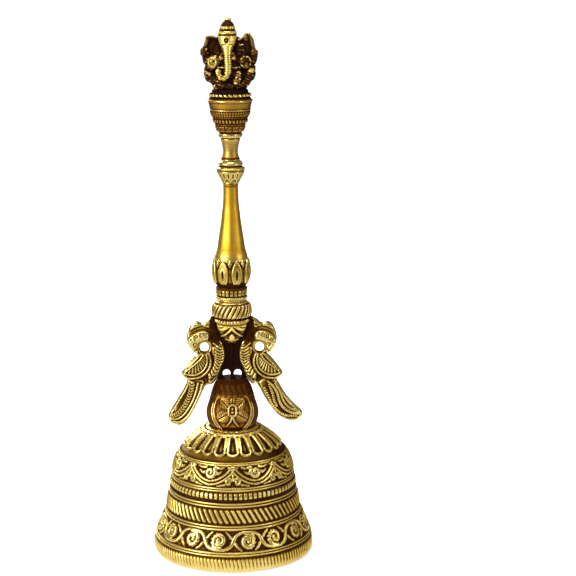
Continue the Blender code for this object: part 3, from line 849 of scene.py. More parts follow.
def bird_wing(X, Z):
    """Folded wing: two thick edge ridges round a fan of fine barbs, with plain lines along the top."""
    wing = pad(X, Z, WING, 2.7, 1.2)
    outer = catmull([
        (9.2, 83.4), (8.6, 80.5), (9.1, 77.6), (11.0, 74.9), (13.4, 73.4), (16.0, 72.9), (18.2, 73.1),
        (20.2, 74.5),
    ], 5)
    inner = catmull([
        (10.6, 83.2), (10.2, 80.5), (10.8, 78.0), (12.5, 75.9), (15.0, 74.6), (17.3, 74.5), (19.6, 75.1),
    ], 5)
    edge = overlay(stroke(X, Z, outer, 0.62, 0.5, 0.9), stroke(X, Z, inner, 0.42, 0.36, 0.75))
    top = catmull([(11.6, 83.4), (13.0, 81.1), (15.4, 78.9), (17.8, 77.0), (19.6, 75.6)], 5)
    second = catmull([(13.3, 83.0), (15.0, 80.9), (17.4, 78.5), (19.6, 76.2)], 5)
    lines = overlay(stroke(X, Z, top, 0.38, 0.3, 0.7), stroke(X, Z, second, 0.36, 0.3, 0.7))
    fan = np.degrees(np.arctan2(Z - 84.6, X - 15.6))
    between = signed_distance(X, Z, np.vstack([inner, top[::-1]]))
    barbs = 0.85 * wave(fan / 8.6, 0.8) * smoothstep(0.2, 0.6, between)
    sunk = -0.7 * smoothstep(0.2, 0.6, between)
    return (wing + overlay(edge, lines, barbs) + sunk) * (wing > 0)


def left_bird_tail(X, Z):
    """The left bird's tail hangs steeper: its quills run along the inner side, with barbs outside them."""
    tail = pad(X, Z, [(12.0, 72.4), (16.0, 72.8)] + LEFT_TAIL_EDGE, 2.3, 1.0)
    quill = catmull([
        (12.4, 70.4), (13.3, 67.0), (14.9, 63.2), (17.0, 59.2), (19.4, 56.0), (22.2, 54.4), (24.8, 54.6),
    ], 5)
    second = catmull([
        (14.0, 71.0), (14.9, 67.4), (16.3, 63.6), (18.2, 60.2), (20.4, 57.4), (23.0, 55.8), (25.4, 56.0),
    ], 5)
    outer = catmull([(18.0, 71.0), (19.6, 67.6), (21.6, 64.4), (23.4, 61.4)], 5)
    lines = overlay(stroke(X, Z, quill, 0.6, 0.6, 0.9), stroke(X, Z, second, 0.45, 0.4, 0.8))
    lines = overlay(lines, stroke(X, Z, outer, 0.4, 0.35, 0.6))
    row = catmull([(16.4, 71.0), (17.2, 67.2), (18.4, 63.8), (20.4, 60.4), (22.8, 57.8), (25.6, 57.0)], 5)
    distance, along = nearest(X, Z, row)
    barbs = 0.8 * wave(along * 16 + distance * 0.5, 0.8) * smoothstep(1.25, 0.8, distance)
    notch = -0.6 * smoothstep(1.2, 0.6, np.hypot(X - 24.6, (Z - 59.4) * 0.8))
    return (tail + overlay(lines, barbs) + notch) * (tail > 0)


def bird_tail(X, Z):
    """Long drooping tail: a double quill on the outer side, two rows of beads within."""
    tail = pad(X, Z, TAIL, 2.3, 1.0)
    quill = catmull([
        (14.6, 71.6), (17.0, 69.2), (18.6, 66.2), (19.5, 62.8), (21.1, 60.2), (23.6, 58.6), (26.0, 57.9),
        (28.2, 58.0),
    ], 5)
    second = catmull([(17.6, 70.6), (19.6, 67.2), (20.7, 63.9), (22.2, 61.4), (24.4, 59.8), (26.8, 59.2)], 5)
    lower = catmull([(16.0, 59.6), (18.6, 56.9), (21.4, 55.5), (24.0, 55.0), (26.6, 55.3), (28.3, 56.6)], 5)
    lines = overlay(stroke(X, Z, quill, 0.5, 0.75, 0.9), stroke(X, Z, second, 0.4, 0.5, 0.8))
    lines = overlay(lines, stroke(X, Z, lower, 0.3, 0.5, 0.5))
    long_row = [
        (13.2, 68.6), (14.8, 65.2), (16.3, 62.1), (18.1, 59.5), (20.5, 57.6), (23.0, 56.7), (26.2, 56.7),
    ]
    short_row = [(15.2, 70.2), (16.5, 66.8), (17.2, 63.6), (18.2, 61.2)]
    beads = np.zeros(X.shape)
    for row, number in ((long_row, 20), (short_row, 11)):
        distance, along = nearest(X, Z, catmull(row, 5))
        beads = overlay(beads, 0.6 * wave(along * number, 0.8) * smoothstep(0.75, 0.3, distance))
    return (tail + overlay(lines, beads)) * (tail > 0)


def bird_depth(X, Z, d, tail=bird_tail):
    """Half the thickness of a bird: its parts laid over each other on a thin plate."""
    base = 1.5 * np.sqrt(np.clip(1 - (1 - np.clip(d / 0.8, 0, 1)) ** 2, 0, 1))
    legs = pad(X, Z, LEGS, 2.0, 1.0)
    depth = overlay(base, legs, bird_breast(X, Z), tail(X, Z), bird_wing(X, Z), bird_head(X, Z))
    return np.minimum(depth, 4.2 * np.sqrt(np.clip(d / 1.1, 0.02, 1)))


def left_bird_depth(X, Z, d):
    return bird_depth(X, Z, d, left_bird_tail)


def make_bird(name, side):
    """side is -1 for the bird on the left, whose tail has its own outline."""
    edge, depth = BIRD_EDGE, bird_depth
    if side < 0:
        edge = BIRD_EDGE[:17] + LEFT_TAIL_EDGE + BIRD_EDGE[34:]
        depth = left_bird_depth
    bird = flat_casting(name, edge, depth, [OUTER_HOLE], side)
    hole_x, hole_z, hole_radius = OUTER_HOLE

    def tone(co, n):
        x, z = np.abs(co[:, 0]), co[:, 2]
        bright = 0.42 * smoothstep(9.0, 11.5, x) * smoothstep(83.0, 86.0, z)
        tip = 0.15 * smoothstep(21.0, 26.0, x)
        wing = 0.05 * smoothstep(11.0, 15.0, x) * inside(z, 72.0, 84.0, 1.0)
        shade = -2.2 * smoothstep(9.0, 8.0, x) * smoothstep(87.5, 90.0, z) - 0.10 * smoothstep(9.0, 4.0, x)
        legs = -0.2 * smoothstep(11.0, 9.5, x) * smoothstep(76.0, 73.0, z)
        # Painted shade round the hole.
        rim = -1.6 * smoothstep(0.7, 0.1, np.hypot(x - hole_x, z - hole_z) - hole_radius)
        return bright + tip + wing + shade + legs + rim

    weather_and_shade(bird, fine=1.9, broad=0.45, base=0.37, extra=tone)
    add_piece(bird, "bell", ANTIQUE, name)


YOKE_EDGE_RIGHT = [
    (0.0, 96.0), (3.4, 96.0), (6.6, 96.0), (7.4, 95.0), (7.2, 92.6), (6.2, 89.6), (5.2, 86.4), (4.6, 83.0),
    (4.8, 80.4), (5.6, 77.6), (6.8, 75.6), (6.8, 73.4), (6.0, 72.8), (3.0, 72.8), (0.0, 72.8),
]


def yoke_depth(X, Z, d):
    """Half the thickness of the yoke: a web that swells into a round capital with carved leaves."""
    side = np.abs(X)
    hub_radius = np.interp(Z, [85.0, 87.0, 90.5, 93.0, 95.2, 96.0], [0.5, 2.2, 4.6, 6.0, 6.6, 6.6])
    hub = np.sqrt(np.clip(hub_radius**2 - X**2, 0, None)) * 0.75
    rounded = np.sqrt(np.clip(1 - (1 - np.clip(d / 0.5, 0, 1)) ** 2, 0, 1))
    web = (1.3 - 0.5 * smoothstep(80.0, 76.5, Z)) * rounded
    leaf_edge = [(0.7, 95.2), (3.0, 95.8), (5.9, 95.6), (6.0, 94.0), (4.8, 92.9), (3.0, 93.3), (1.6, 94.2)]
    leaf = pad(side, Z, leaf_edge, 0.8, 0.6)
    vein = stroke(side, Z, [(1.4, 95.0), (3.2, 94.9), (5.4, 94.3)], 0.25, 0.2, 0.5) * (leaf > 0)
    chevron = curved_stroke(side, Z, [(-0.2, 94.6), (1.2, 93.0), (2.8, 91.5), (4.5, 90.4)], 0.6, 0.42, 0.8)
    lozenge = pad(X, Z, [(0.0, 92.0), (1.35, 90.2), (0.0, 88.0), (-1.35, 90.2)], 0.8, 0.8)
    tongue = stroke(side, Z, [(0.9, 88.9), (2.0, 89.4), (3.2, 88.9)], 0.4, 0.25, 0.5)
    carved = overlay(leaf - vein, chevron, lozenge, tongue) * (Z > 87.4)
    spine = stroke(X, Z, [(0.0, 87.0), (0.0, 78.0)], 0.6, 0.5, 0.4)
    foot = 2.2 * smoothstep(73.9, 73.1, Z)
    thinned = 6.0 * np.sqrt(np.clip(d / 1.2, 0.02, 1))          # towards the edge
    return np.minimum(overlay(hub, web + spine, foot) + carved, thinned)


def make_yoke_column():
    """Round leaf capital above the web that joins the two birds, the web painted black as shade between them.
    """
    mirrored = [(-x, z) for x, z in reversed(YOKE_EDGE_RIGHT[1:-1])]
    holes = [INNER_HOLE, (-INNER_HOLE[0], *INNER_HOLE[1:])]
    yoke = flat_casting("yoke_column", YOKE_EDGE_RIGHT + mirrored, yoke_depth, holes)

    def tone(co, n):
        reach = np.interp(co[:, 2], [88.0, 90.6, 92.0, 95.6], [1.6, 4.6, 5.2, 6.2])
        beside = smoothstep(-0.2, 0.4, np.abs(co[:, 0]) - reach)
        # Painted black as shade: the web below the capital and the edges beside it, between the birds.  The
        # capital is lighter.
        return 0.34 * (1 - beside) - 4.0 * np.maximum(smoothstep(87.8, 87.0, co[:, 2]), beside)

    weather_and_shade(yoke, base=0.34, extra=tone)
    add_piece(yoke, "bell", DARK, "yoke_column")


# ================================================================ handle castings
def rope_relief(theta, z, s):
    """A twisted rope over a row of small beads."""
    strand = wave((theta / FULL_TURN * 24) - (z - 101.5) * 0.28, 0.7)
    rope = 0.75 * strand * inside(z, 98.7, 104.3, 0.7)
    beads = 0.5 * wave(theta / FULL_TURN * 30, 1.2) * inside(z, 96.4, 98.0, 0.5)
    return rope + beads + ridge(z, 104.7, 0.3, 0.25) - 0.3 * inside(z, 97.9, 98.8, 0.3)


def make_rope_collar():
    foot, top = levels("rope_collar")
    outer = [
        (6.5, foot), (6.8, 96.9), (6.7, 97.9), (6.8, 98.4), (7.3, 99.1), (7.55, 100.6), (7.4, 102.4),
        (6.9, 104.0), (6.3, 104.7), (5.9, top),
    ]
    closing = [(4.0, top), (TIE_HOLE, top), (TIE_HOLE, foot), (4.0, foot)]
    turned_piece("rope_collar", outer, 360, rope_relief, closing, 0.2, "antique_brass", UMBER,
                 fine=2.3, base=0.14)


def fret_relief(theta, z, s):
    """Upright bars with a wider notch in every other gap, between two rings."""
    turn = theta / FULL_TURN
    bars = 0.42 * (wave(turn * 22, 0.9) > 0.55) * inside(z, 107.7, 110.2, 0.3)
    boxes = 0.25 * (wave(turn * 11 + 0.25, 1.0) > 0.85) * inside(z, 108.3, 109.7, 0.3)
    rings = ridge(z, 106.7, 0.5, 0.45) * (0.75 + 0.25 * wave(turn * 34)) + ridge(z, 110.5, 0.35, 0.4)
    return bars - boxes + rings


def make_fret_collar():
    foot, top = levels("fret_collar")
    outer = [
        (5.7, foot), (6.0, 106.0), (6.15, 106.8), (5.95, 107.6), (5.95, 109.2), (6.05, 110.5),
        (5.9, top),
    ]
    closing = [(4.0, top), (TIE_HOLE, top), (TIE_HOLE, foot), (4.0, foot)]

    def tone(co, n):
        return -0.9 * smoothstep(109.9, 110.3, co[:, 2]) - 0.06

    turned_piece("fret_collar", outer, 360, fret_relief, closing, 0.18, "antique_brass", ANTIQUE,
                 fine=1.6, base=0.24, extra=tone)


LOTUS_PETALS = 8


def lotus_relief(theta, z, s):
    """Upright pointed petals with a dark slot, and the tips of a second row between them."""
    foot, top = 113.0, 122.6
    pitch = FULL_TURN * 7.6 / LOTUS_PETALS
    phase = ((theta + 0.09) * LOTUS_PETALS / FULL_TURN) % 1 - 0.5      # 0 in the middle of a petal
    X = phase * pitch + 0 * z
    Y = z + 0 * theta
    rise = np.clip((Y - foot) / (top - foot), 0, 1)
    half = 2.6 * np.clip(np.sin(math.pi * (0.16 + 0.84 * rise)) ** 0.55, 0, 1) * (rise < 1)
    to_edge = half - np.abs(X)
    petal = 0.85 * smoothstep(0.0, 0.7, to_edge) * (Y > foot - 0.2)
    slot_half = 0.42 * np.sin(math.pi * np.clip((Y - 114.4) / 4.6, 0, 1))
    slot = 0.75 * (1 - smoothstep(slot_half * 0.7, slot_half + 0.18, np.abs(X))) * (slot_half > 0.05)
    back = np.abs(np.abs(X) - pitch / 2)
    diamond = 0.62 * smoothstep(0.0, 0.5, 1.15 * (1 - np.abs(Y - 121.2) / 1.9) - back)
    return overlay(petal - slot, diamond) + ridge(z, 112.3, 0.5, 0.3)


def make_lotus_collar():
    foot, _ = levels("lotus_collar")
    outer = [
        (5.9, foot), (6.1, 112.3), (6.3, 113.0), (6.75, 114.3), (7.1, 116.0), (7.2, 117.8), (7.1, 119.3),
        (6.95, 120.8), (6.85, 121.8), (6.8, 122.9),
    ]
    closing = [(6.0, 122.9), (5.0, 121.9), (TIE_HOLE, 121.9), (TIE_HOLE, foot), (4.0, foot)]

    def tone(co, n):
        return -1.2 * smoothstep(113.3, 112.8, co[:, 2])

    turned_piece("lotus_collar", outer, 480, lotus_relief, closing, 0.2, "polished_brass", ANTIQUE,
                 fine=2.4, base=0.37, extra=tone)


def shaft_relief(theta, z, s):
    """Faint facets on the lower half, and a groove above the foot."""
    facets = 0.05 * np.cos(theta * 8) * smoothstep(124, 130, z) * (1 - smoothstep(139, 146, z))
    return facets - 0.12 * inside(z, 123.0, 123.7, 0.3)


def make_handle_shaft():
    _, top = levels("handle_shaft")
    outer = [
        (6.45, 122.2), (6.75, 122.9), (6.5, 124.3), (5.75, 126.6), (5.35, 128.8), (5.05, 131.0), (4.7, 133.2),
        (4.2, 136.4), (3.85, 139.0), (3.5, 142.3), (3.15, 145.6), (3.0, 149.0), (3.0, 151.5), (3.05, top),
    ]
    closing = [(TIE_HOLE, top), (TIE_HOLE, 122.2), (4.5, 122.2)]

    def tone(co, n):
        # Painted shade down the middle of the faces turned to the front and the back.
        return -0.22 * smoothstep(0.55, 0.85, np.abs(n[:, 1]))

    turned_piece("handle_shaft", outer, 240, shaft_relief, closing, 0.35, "polished_brass", POLISHED,
                 base=0.66, extra=tone)


def knop_relief(theta, z, s):
    """Scalloped leaves below the sharp edge, with short slots in them."""
    turn = theta / FULL_TURN
    u = np.abs((turn * 8) % 1 - 0.5) * 2
    scallop = 153.6 + 1.5 * (1 - u**2)
    leaf = 0.35 * smoothstep(0.0, 0.3, z - scallop) * (1 - smoothstep(158.0, 158.8, z))
    slots = 0.4 * (wave(turn * 16 + 0.5, 1.0) > 0.9) * inside(z, 155.6, 157.8, 0.5)
    return leaf - slots


def make_knop():
    foot, top = levels("knop")
    outer = [
        (3.2, foot), (3.25, 154.1), (3.75, 155.3), (4.6, 156.9), (5.2, 158.1), (5.55, 158.9), (5.85, 159.35),
        (5.55, 159.75), (4.7, 160.2), (4.45, 160.5), (4.85, 161.0), (4.9, 161.5), (4.5, 162.1), (4.0, top),
    ]
    closing = [(TIE_HOLE, top), (TIE_HOLE, foot)]
    turned_piece("knop", outer, 240, knop_relief, closing, 0.16, "polished_brass", ANTIQUE,
                 fine=1.5, base=0.52)


def cone_relief(theta, z, s):
    """Three patterned bands between thin rings, a notched ring below them, and a rounded top rim."""
    turn = theta / FULL_TURN
    zigzag = np.abs((turn * 14) % 1 - 0.5) * 2
    ring_saw = ridge(z, 172.7, 0.7, 0.3) * (0.72 + 0.28 * wave(turn * 20))
    bars = smoothstep(0.15, 0.45, wave(turn * 26 + (zigzag - 0.5) * 0.4, 1.0))
    bottom = 0.45 * bars * inside(z, 174.3, 176.8, 0.4)
    middle = 0.55 * wave(turn * 30, 0.8) * inside(z, 177.5, 179.7, 0.8)
    top = 0.38 * smoothstep(0.2, 0.6, wave(turn * 44, 1.0)) * inside(z, 180.4, 182.6, 0.35)
    rings = ridge(z, 177.1, 0.24, 0.25) + ridge(z, 180.05, 0.24, 0.25) + ridge(z, 183.0, 0.28, 0.3)
    grooves = -0.45 * inside(z, 171.1, 171.9, 0.35) - 0.45 * inside(z, 173.4, 174.1, 0.3)
    rim = ridge(z, 186.6, 0.5, 0.25)
    return ring_saw + bottom + middle + top + rings + grooves + rim


def make_finial_cone():
    foot, top = levels("finial_cone")
    outer = [
        (3.7, foot), (3.65, 163.4), (3.15, 164.6), (2.95, 165.8), (3.0, 167.0), (3.35, 169.2), (3.75, 170.6),
        (4.2, 171.8), (4.5, 172.8), (4.85, 174.0), (5.5, 175.8), (6.1, 177.4), (6.8, 179.4), (7.45, 181.2),
        (7.95, 182.8), (8.35, 184.6), (8.7, 186.2), (8.7, 187.0), (8.3, 187.6), (7.9, top),
    ]
    closing = [(4.0, top), (TIE_HOLE, top), (TIE_HOLE, foot)]

    def tone(co, n):
        patterned = inside(co[:, 2], 173.4, 182.9, 0.3)
        # Darker from the rim up, and the top face under the seat is painted black as shade.
        lip = -0.40 * smoothstep(185.8, 186.2, co[:, 2]) - 4.0 * smoothstep(187.0, 187.4, co[:, 2])
        # Painted shade on the sides turned to the left and right.
        edges = -0.25 * smoothstep(0.75, 0.95, np.abs(n[:, 0]))
        stem = 0.22 * smoothstep(172.0, 170.0, co[:, 2])
        return lip + edges - 0.45 * patterned + stem + 0.08 * (1 - patterned)

    turned_piece("finial_cone", outer, 400, cone_relief, closing, 0.19, "antique_brass", UMBER,
                 base=0.43, extra=tone)


def seat_relief(theta, z, s):
    """A row of slanted beads under a thin ring."""
    turn = theta / FULL_TURN
    slanted = wave(turn * 26 + (z - 189) * 0.45, 1.0)
    slashes = 0.6 * smoothstep(0.3, 0.8, slanted) * inside(z, 188.2, 189.5, 0.3)
    return slashes + ridge(z, 190.5, 0.3, 0.2)


def make_beaded_seat():
    _, top = levels("beaded_seat")
    outer = [(7.7, 188.1), (7.9, 188.5), (7.8, 189.2), (7.3, 190.0), (7.0, 190.7), (6.7, top)]
    closing = [(3.5, top), (TIE_HOLE, top), (TIE_HOLE, 188.1), (5.0, 188.1)]

    def tone(co, n):
        # Painted black as shade above the bead row, under the figure, and at the foot where the seat sits on
        # the cone.
        return -3.0 * (1 - inside(co[:, 2], 188.3, 189.6, 0.2))

    turned_piece("beaded_seat", outer, 300, seat_relief, closing, 0.16, "dark_brass", DARK,
                 fine=1.6, base=0.5, extra=tone)


# ================================================================ seated figure
def unit_lathe(heights, radii, around):
    """Points and triangles of a closed body of revolution about Z, from its foot to its top."""
    angle = np.arange(around) * FULL_TURN / around
    points = [(0.0, 0.0, heights[0])]
    for z, r in zip(heights, radii):
        points += [(r * math.cos(t), r * math.sin(t), z) for t in angle]
    points.append((0.0, 0.0, heights[-1]))
    last = len(points) - 1
    faces = []
    for k in range(around):
        following = (k + 1) % around
        faces.append((0, 1 + following, 1 + k))
        for row in range(len(heights) - 1):
            low, high = 1 + row * around, 1 + (row + 1) * around
            faces.append((low + k, low + following, high + following))
            faces.append((low + k, high + following, high + k))
        top = 1 + (len(heights) - 1) * around
        faces.append((last, top + k, top + following))
    return np.array(points), np.array(faces)


BALL_ANGLES = np.radians(np.arange(-80, 81, 16))
UNIT_BALL = unit_lathe(np.sin(BALL_ANGLES), np.cos(BALL_ANGLES), 18)


def ball(parts, centre, radii):
    points, faces = UNIT_BALL
    parts.append((points * radii + centre, faces))


def limb(parts, joints):
    """A chain of rounded, tapering lengths through (x, y, z, radius) joints."""
    for start, end in zip(joints, joints[1:]):
        a, b = Vector(start[:3]), Vector(end[:3])
        turn = np.array((b - a).to_track_quat("Z", "Y").to_matrix())
        points, faces = unit_lathe([0.0, (b - a).length], [start[3], end[3]], 16)
        parts.append((points @ turn.T + np.array(a), faces))
    for joint in joints:
        ball(parts, joint[:3], joint[3])


def hoop(parts, centre, radius, wire, stretch=1.0, facing_front=False):
    """A ring of short lengths, level or facing the front."""
    joints = []
    for k in range(21):
        angle = FULL_TURN * k / 20
        across, along = radius * math.cos(angle), radius * stretch * math.sin(angle)
        offset = (across, 0, along) if facing_front else (across, along, 0)
        joints.append((centre[0] + offset[0], centre[1] + offset[1], centre[2] + offset[2], wire))
    limb(parts, joints)


def joined(name, parts):
    """One mesh from many closed parts that may overlap."""
    starts = np.cumsum([0] + [len(points) for points, _ in parts[:-1]])
    faces = np.vstack([faces + start for (_, faces), start in zip(parts, starts)])
    return new_mesh(name, np.vstack([points for points, _ in parts]), faces.tolist())


FACE_X = -1.0
TRUNK = [
    (-1.0, -3.3, 207.6, 2.0), (-0.95, -4.3, 205.4, 1.55), (-0.8, -4.9, 203.0, 1.4), (-0.7, -5.2, 200.6, 1.35),
    (-0.7, -5.5, 198.4, 1.3), (-1.2, -5.6, 196.8, 1.2), (-2.4, -5.6, 195.8, 1.1), (-3.7, -5.5, 196.1, 1.0),
    (-4.5, -5.4, 197.4, 0.95), (-4.7, -5.3, 198.6, 0.9),
]


def shape_head(parts):
    """Tall crown, elephant face with large ears, and the trunk curled to one side."""
    ball(parts, (FACE_X + 0.3, 0, 218.4), (1.35, 1.35, 0.75))
    limb(parts, [(FACE_X + 0.25, 0, 217.0, 1.5), (FACE_X + 0.2, 0, 215.4, 2.75)])
    ball(parts, (FACE_X + 0.1, 0, 212.6), (3.75, 3.6, 3.9))
    limb(parts, [(FACE_X, -0.4, 211.6, 3.85), (FACE_X, -1.0, 209.6, 3.6), (FACE_X, -2.0, 207.4, 2.7)])
    limb(parts, TRUNK)
    for side in (-1, 1):
        ball(parts, (FACE_X + side * 1.45, -4.3, 208.2), (0.75, 0.5, 0.42))
        limb(parts, [(FACE_X + side * 0.8, -4.5, 209.4, 0.28), (FACE_X + side * 2.2, -3.9, 209.3, 0.28)])
        limb(parts, [(FACE_X + side * 2.0, -4.2, 205.2, 0.75), (FACE_X + side * 2.5, -4.9, 203.6, 0.8)])
        ball(parts, (side * 6.3, 0.3, 206.6), (3.9, 1.0, 5.2))
        ball(parts, (side * 4.0, -0.2, 205.2), (2.6, 1.3, 4.4))
        rim = [(3.6, 210.6), (6.4, 211.2), (8.8, 210.0), (9.6, 207.0), (8.6, 203.4), (6.2, 201.6)]
        limb(parts, [(side * x, -0.5, z, 0.45) for x, z in catmull(rim, 4)])
    limb(parts, [(4.0, -1.2, 208.4, 0.4), (5.2, -1.2, 208.6, 0.35)])
    limb(parts, [(4.0, -1.3, 206.4, 0.4), (5.4, -1.2, 206.5, 0.35)])


def shape_body(parts):
    """Round belly, four arms with what they hold, and folded legs on a low cushion."""
    ball(parts, (0, 1.8, 202.5), (8.6, 1.7, 10.0))
    ball(parts, (0, 0.6, 200.2), (6.4, 3.8, 6.5))
    ball(parts, (0, -1.2, 198.0), (4.9, 4.0, 4.6))
    ball(parts, (0, 0.4, 194.2), (7.8, 5.0, 3.4))
    ball(parts, (0, 0.4, 191.9), (7.0, 5.4, 1.8))
    for side in (-1, 1):
        raised_arm = [(5.2, 0.8, 203.6, 1.9), (8.9, 0.6, 202.2, 1.8), (9.8, -0.4, 205.4, 1.5)]
        front_arm = [(5.4, 0.4, 201.6, 1.8), (8.4, -0.4, 199.2, 1.9), (6.6, -3.0, 200.6, 1.4)]
        for arm in (raised_arm, front_arm):
            limb(parts, [(side * x, y, z, radius) for x, y, z, radius in arm])
        ball(parts, (side * 8.4, 0.6, 197.4), (1.9, 1.8, 3.2))
    ball(parts, (-6.6, -3.4, 202.0), (2.0, 0.8, 2.1))
    limb(parts, [(-6.6 + x, -4.2, 202.0 + z, 0.45) for x, z in spiral((0, 0), 1.95, 0.5, 150, 1.35, 26)])
    ball(parts, (6.1, -3.2, 202.0), (2.2, 0.8, 2.3))
    limb(parts, [(6.1 + x, -3.8, 202.0 + z, 0.42) for x, z in spiral((0, 0), 2.1, 1.9, 70, -0.55, 14)])
    ball(parts, (-10.4, -1.2, 205.9), (1.4, 1.1, 1.8))
    limb(parts, [(-11.0, -1.8, 204.6, 0.5), (-9.3, -1.8, 206.9, 0.5)])
    limb(parts, [(-9.9, -1.0, 207.8, 0.7), (-8.6, -0.9, 211.2, 0.75)])
    limb(parts, [(-9.2, -1.2, 211.7, 0.55), (-6.6, -1.2, 211.9, 0.5)])
    ball(parts, (9.5, -1.0, 205.6), (1.2, 1.1, 2.0))
    limb(parts, [(9.4, -1.0, 207.4, 0.75), (8.7, -0.9, 210.4, 0.85), (7.6, -0.8, 212.6, 0.7)])
    ball(parts, (6.6, -0.8, 211.6), (1.3, 0.8, 1.5))
    limb(parts, [
        (-2.0, 0.0, 194.2, 2.3), (-8.0, -1.6, 196.0, 2.0), (-3.0, -4.6, 192.8, 1.4), (0.4, -5.0, 192.4, 1.2),
    ])
    limb(parts, [(-9.5, -2.4, 197.9, 0.5), (-8.0, -3.5, 197.2, 0.6), (-7.6, -3.6, 195.0, 0.45)])
    limb(parts, [
        (2.4, 0.0, 194.6, 2.4), (7.6, -1.6, 196.6, 2.1), (6.4, -3.2, 193.8, 1.5), (2.6, -4.6, 192.8, 1.3),
    ])
    ball(parts, (8.3, -2.6, 198.6), 1.35)
    limb(parts, [(3.4, -4.4, 197.6, 1.0), (3.1, -4.8, 195.6, 1.3), (2.4, -5.2, 193.8, 1.25)])
    hoop(parts, (-4.9, -4.6, 192.4), 1.3, 0.35, 0.6, facing_front=True)
    hoop(parts, (-0.2, -1.2, 199.8), 4.7, 0.4, 0.86)


def carve_front(obj):
    """Fine work on the front of the fused figure: crown beads, a ringed brow mark, trunk rings and folds."""
    mesh = obj.data
    co, normal = points_and_normals(mesh)
    x, y, z = co.T
    front = smoothstep(-0.1, -0.5, normal[:, 1])
    around = np.arctan2(x - FACE_X, -y) / FULL_TURN
    lift = (0.05 + 0.16 * wave(around * 14, 1.0)) * inside(z, 214.7, 215.9, 0.2)
    lift = lift + (0.05 + 0.08 * wave(around * 18, 1.0)) * inside(z, 212.9, 214.0, 0.2)
    lift = lift - 0.2 * inside(z, 214.1, 214.6, 0.2) - 0.2 * inside(z, 212.2, 212.7, 0.2)
    brow = np.abs(np.hypot(x - FACE_X + 0.3, z - 210.4) - 0.75)
    lift = lift - 0.3 * smoothstep(0.35, 0.1, brow) * front
    trunk_zone = smoothstep(2.0, 1.4, np.abs(x + 0.8)) * inside(z, 197.0, 206.5, 0.6) * (y < -4)
    lift = lift + 0.10 * wave(z / 0.9, 1.0) * trunk_zone
    rough = np.sin(x * 2.3 + 1.1 * z) * np.sin(z * 2.9 - 0.7 * x) * np.sin(y * 2.1 + z)
    lift = lift + 0.16 * rough * (1 - trunk_zone) * (z < 206)
    folds = 0.16 * wave((x * 0.4 + z) / 1.1, 1.0) * inside(z, 191.5, 199.0, 0.5) * front * (np.abs(x) > 3.5)
    co = co + normal * (lift + folds)[:, None]
    mesh.vertices.foreach_set("co", (co * MM).ravel())
    mesh.update()


def with_modifiers_applied(obj):
    graph = bpy.context.evaluated_depsgraph_get()
    return bpy.data.meshes.new_from_object(obj.evaluated_get(graph), depsgraph=graph)


def make_seated_figure():
    solids = []
    shape_head(solids)
    shape_body(solids)
    parts = joined("figure_parts", solids)
    fuse = parts.modifiers.new("fuse", "REMESH")
    fuse.mode = "VOXEL"
    fuse.voxel_size = 0.2 * MM
    figure = bpy.data.objects.new("seated_figure", with_modifiers_applied(parts))
    bpy.context.scene.collection.objects.link(figure)
    bpy.data.objects.remove(parts, do_unlink=True)
    smooth = figure.modifiers.new("smooth", "SMOOTH")
    smooth.iterations = 3
    eased = with_modifiers_applied(figure)
    figure.modifiers.clear()
    figure.data = eased
    smooth_shade(figure, 80)
    carve_front(figure)

    def tone(co, n):
        x, y, z = co.T
        front = smoothstep(0.1, -0.5, n[:, 1])
        narrowing = np.abs(x - FACE_X) + 0.42 * (211.5 - z)
        face = smoothstep(4.3, 3.5, narrowing) * inside(z, 205.0, 212.4, 0.5)
        trunk = np.zeros(len(co))
        for joint in TRUNK:
            away = np.hypot(x - joint[0], z - joint[2])
            trunk = np.maximum(trunk, smoothstep(joint[3] + 0.7, joint[3] - 0.1, away))
        trunk = trunk * (y < -3.6)
        bands = inside(z, 212.8, 214.1, 0.2) + inside(z, 214.7, 215.9, 0.2)
        bands = bands * smoothstep(4.6, 4.0, np.abs(x - FACE_X))
        hands = smoothstep(2.9, 2.3, np.hypot(x + 6.6, z - 202.0))
        hands = hands + 0.1 * smoothstep(2.9, 2.3, np.hypot(x - 6.1, z - 202.0))
        brow = smoothstep(1.1, 0.7, np.hypot(x - FACE_X + 0.3, z - 210.4)) * front
        top = 0.9 * smoothstep(218.2, 218.6, z)
        knee = smoothstep(1.8, 1.2, np.hypot(x - 8.3, z - 198.6))
        foot = smoothstep(1.8, 1.2, np.abs(x - 2.7)) * inside(z, 193.0, 198.4, 0.6)
        warm = 0.76 * np.maximum(face, 0.65 * trunk) + 0.6 * bands
        warm = warm + 0.3 * np.maximum(knee, foot) + 0.55 * hands
        return front * warm + top - 0.2 - 0.75 * brow - 0.14 * smoothstep(200.0, 197.0, z)

    weather_and_shade(figure, fine=1.0, broad=0.34, base=0.36, extra=tone)
    add_piece(figure, "bell", DARK, "seated_figure")


# ================================================================ studio
def make_camera():
    """A long lens a little above the handle's top, aimed slightly to the bell's right."""
    data = bpy.data.cameras.new("camera")
    data.sensor_width = 36.0
    data.lens = 104.4
    data.clip_start = 0.05
    data.clip_end = 30
    camera = bpy.data.objects.new("camera", data)
    camera.location = (0.0, -0.668, 0.24484)
    down = math.radians(11.4)
    aside = math.radians(1.975)
    roll = math.radians(-0.05)
    turn = Matrix.Rotation(-aside, 4, "Z") @ Matrix.Rotation(math.pi / 2 - down, 4, "X")
    turn = turn @ Matrix.Rotation(roll, 4, "Z")
    camera.rotation_euler = turn.to_euler()
    bpy.context.scene.collection.objects.link(camera)
    bpy.context.scene.camera = camera


def make_area_light(name, place, target, size, power):
    data = bpy.data.lights.new(name, "AREA")
    data.shape = "RECTANGLE"
    data.size, data.size_y = size
    data.energy = power
    light = bpy.data.objects.new(name, data)
    light.location = place
    light.rotation_euler = (Vector(target) - Vector(place)).to_track_quat("-Z", "Y").to_euler()
    bpy.context.scene.collection.objects.link(light)


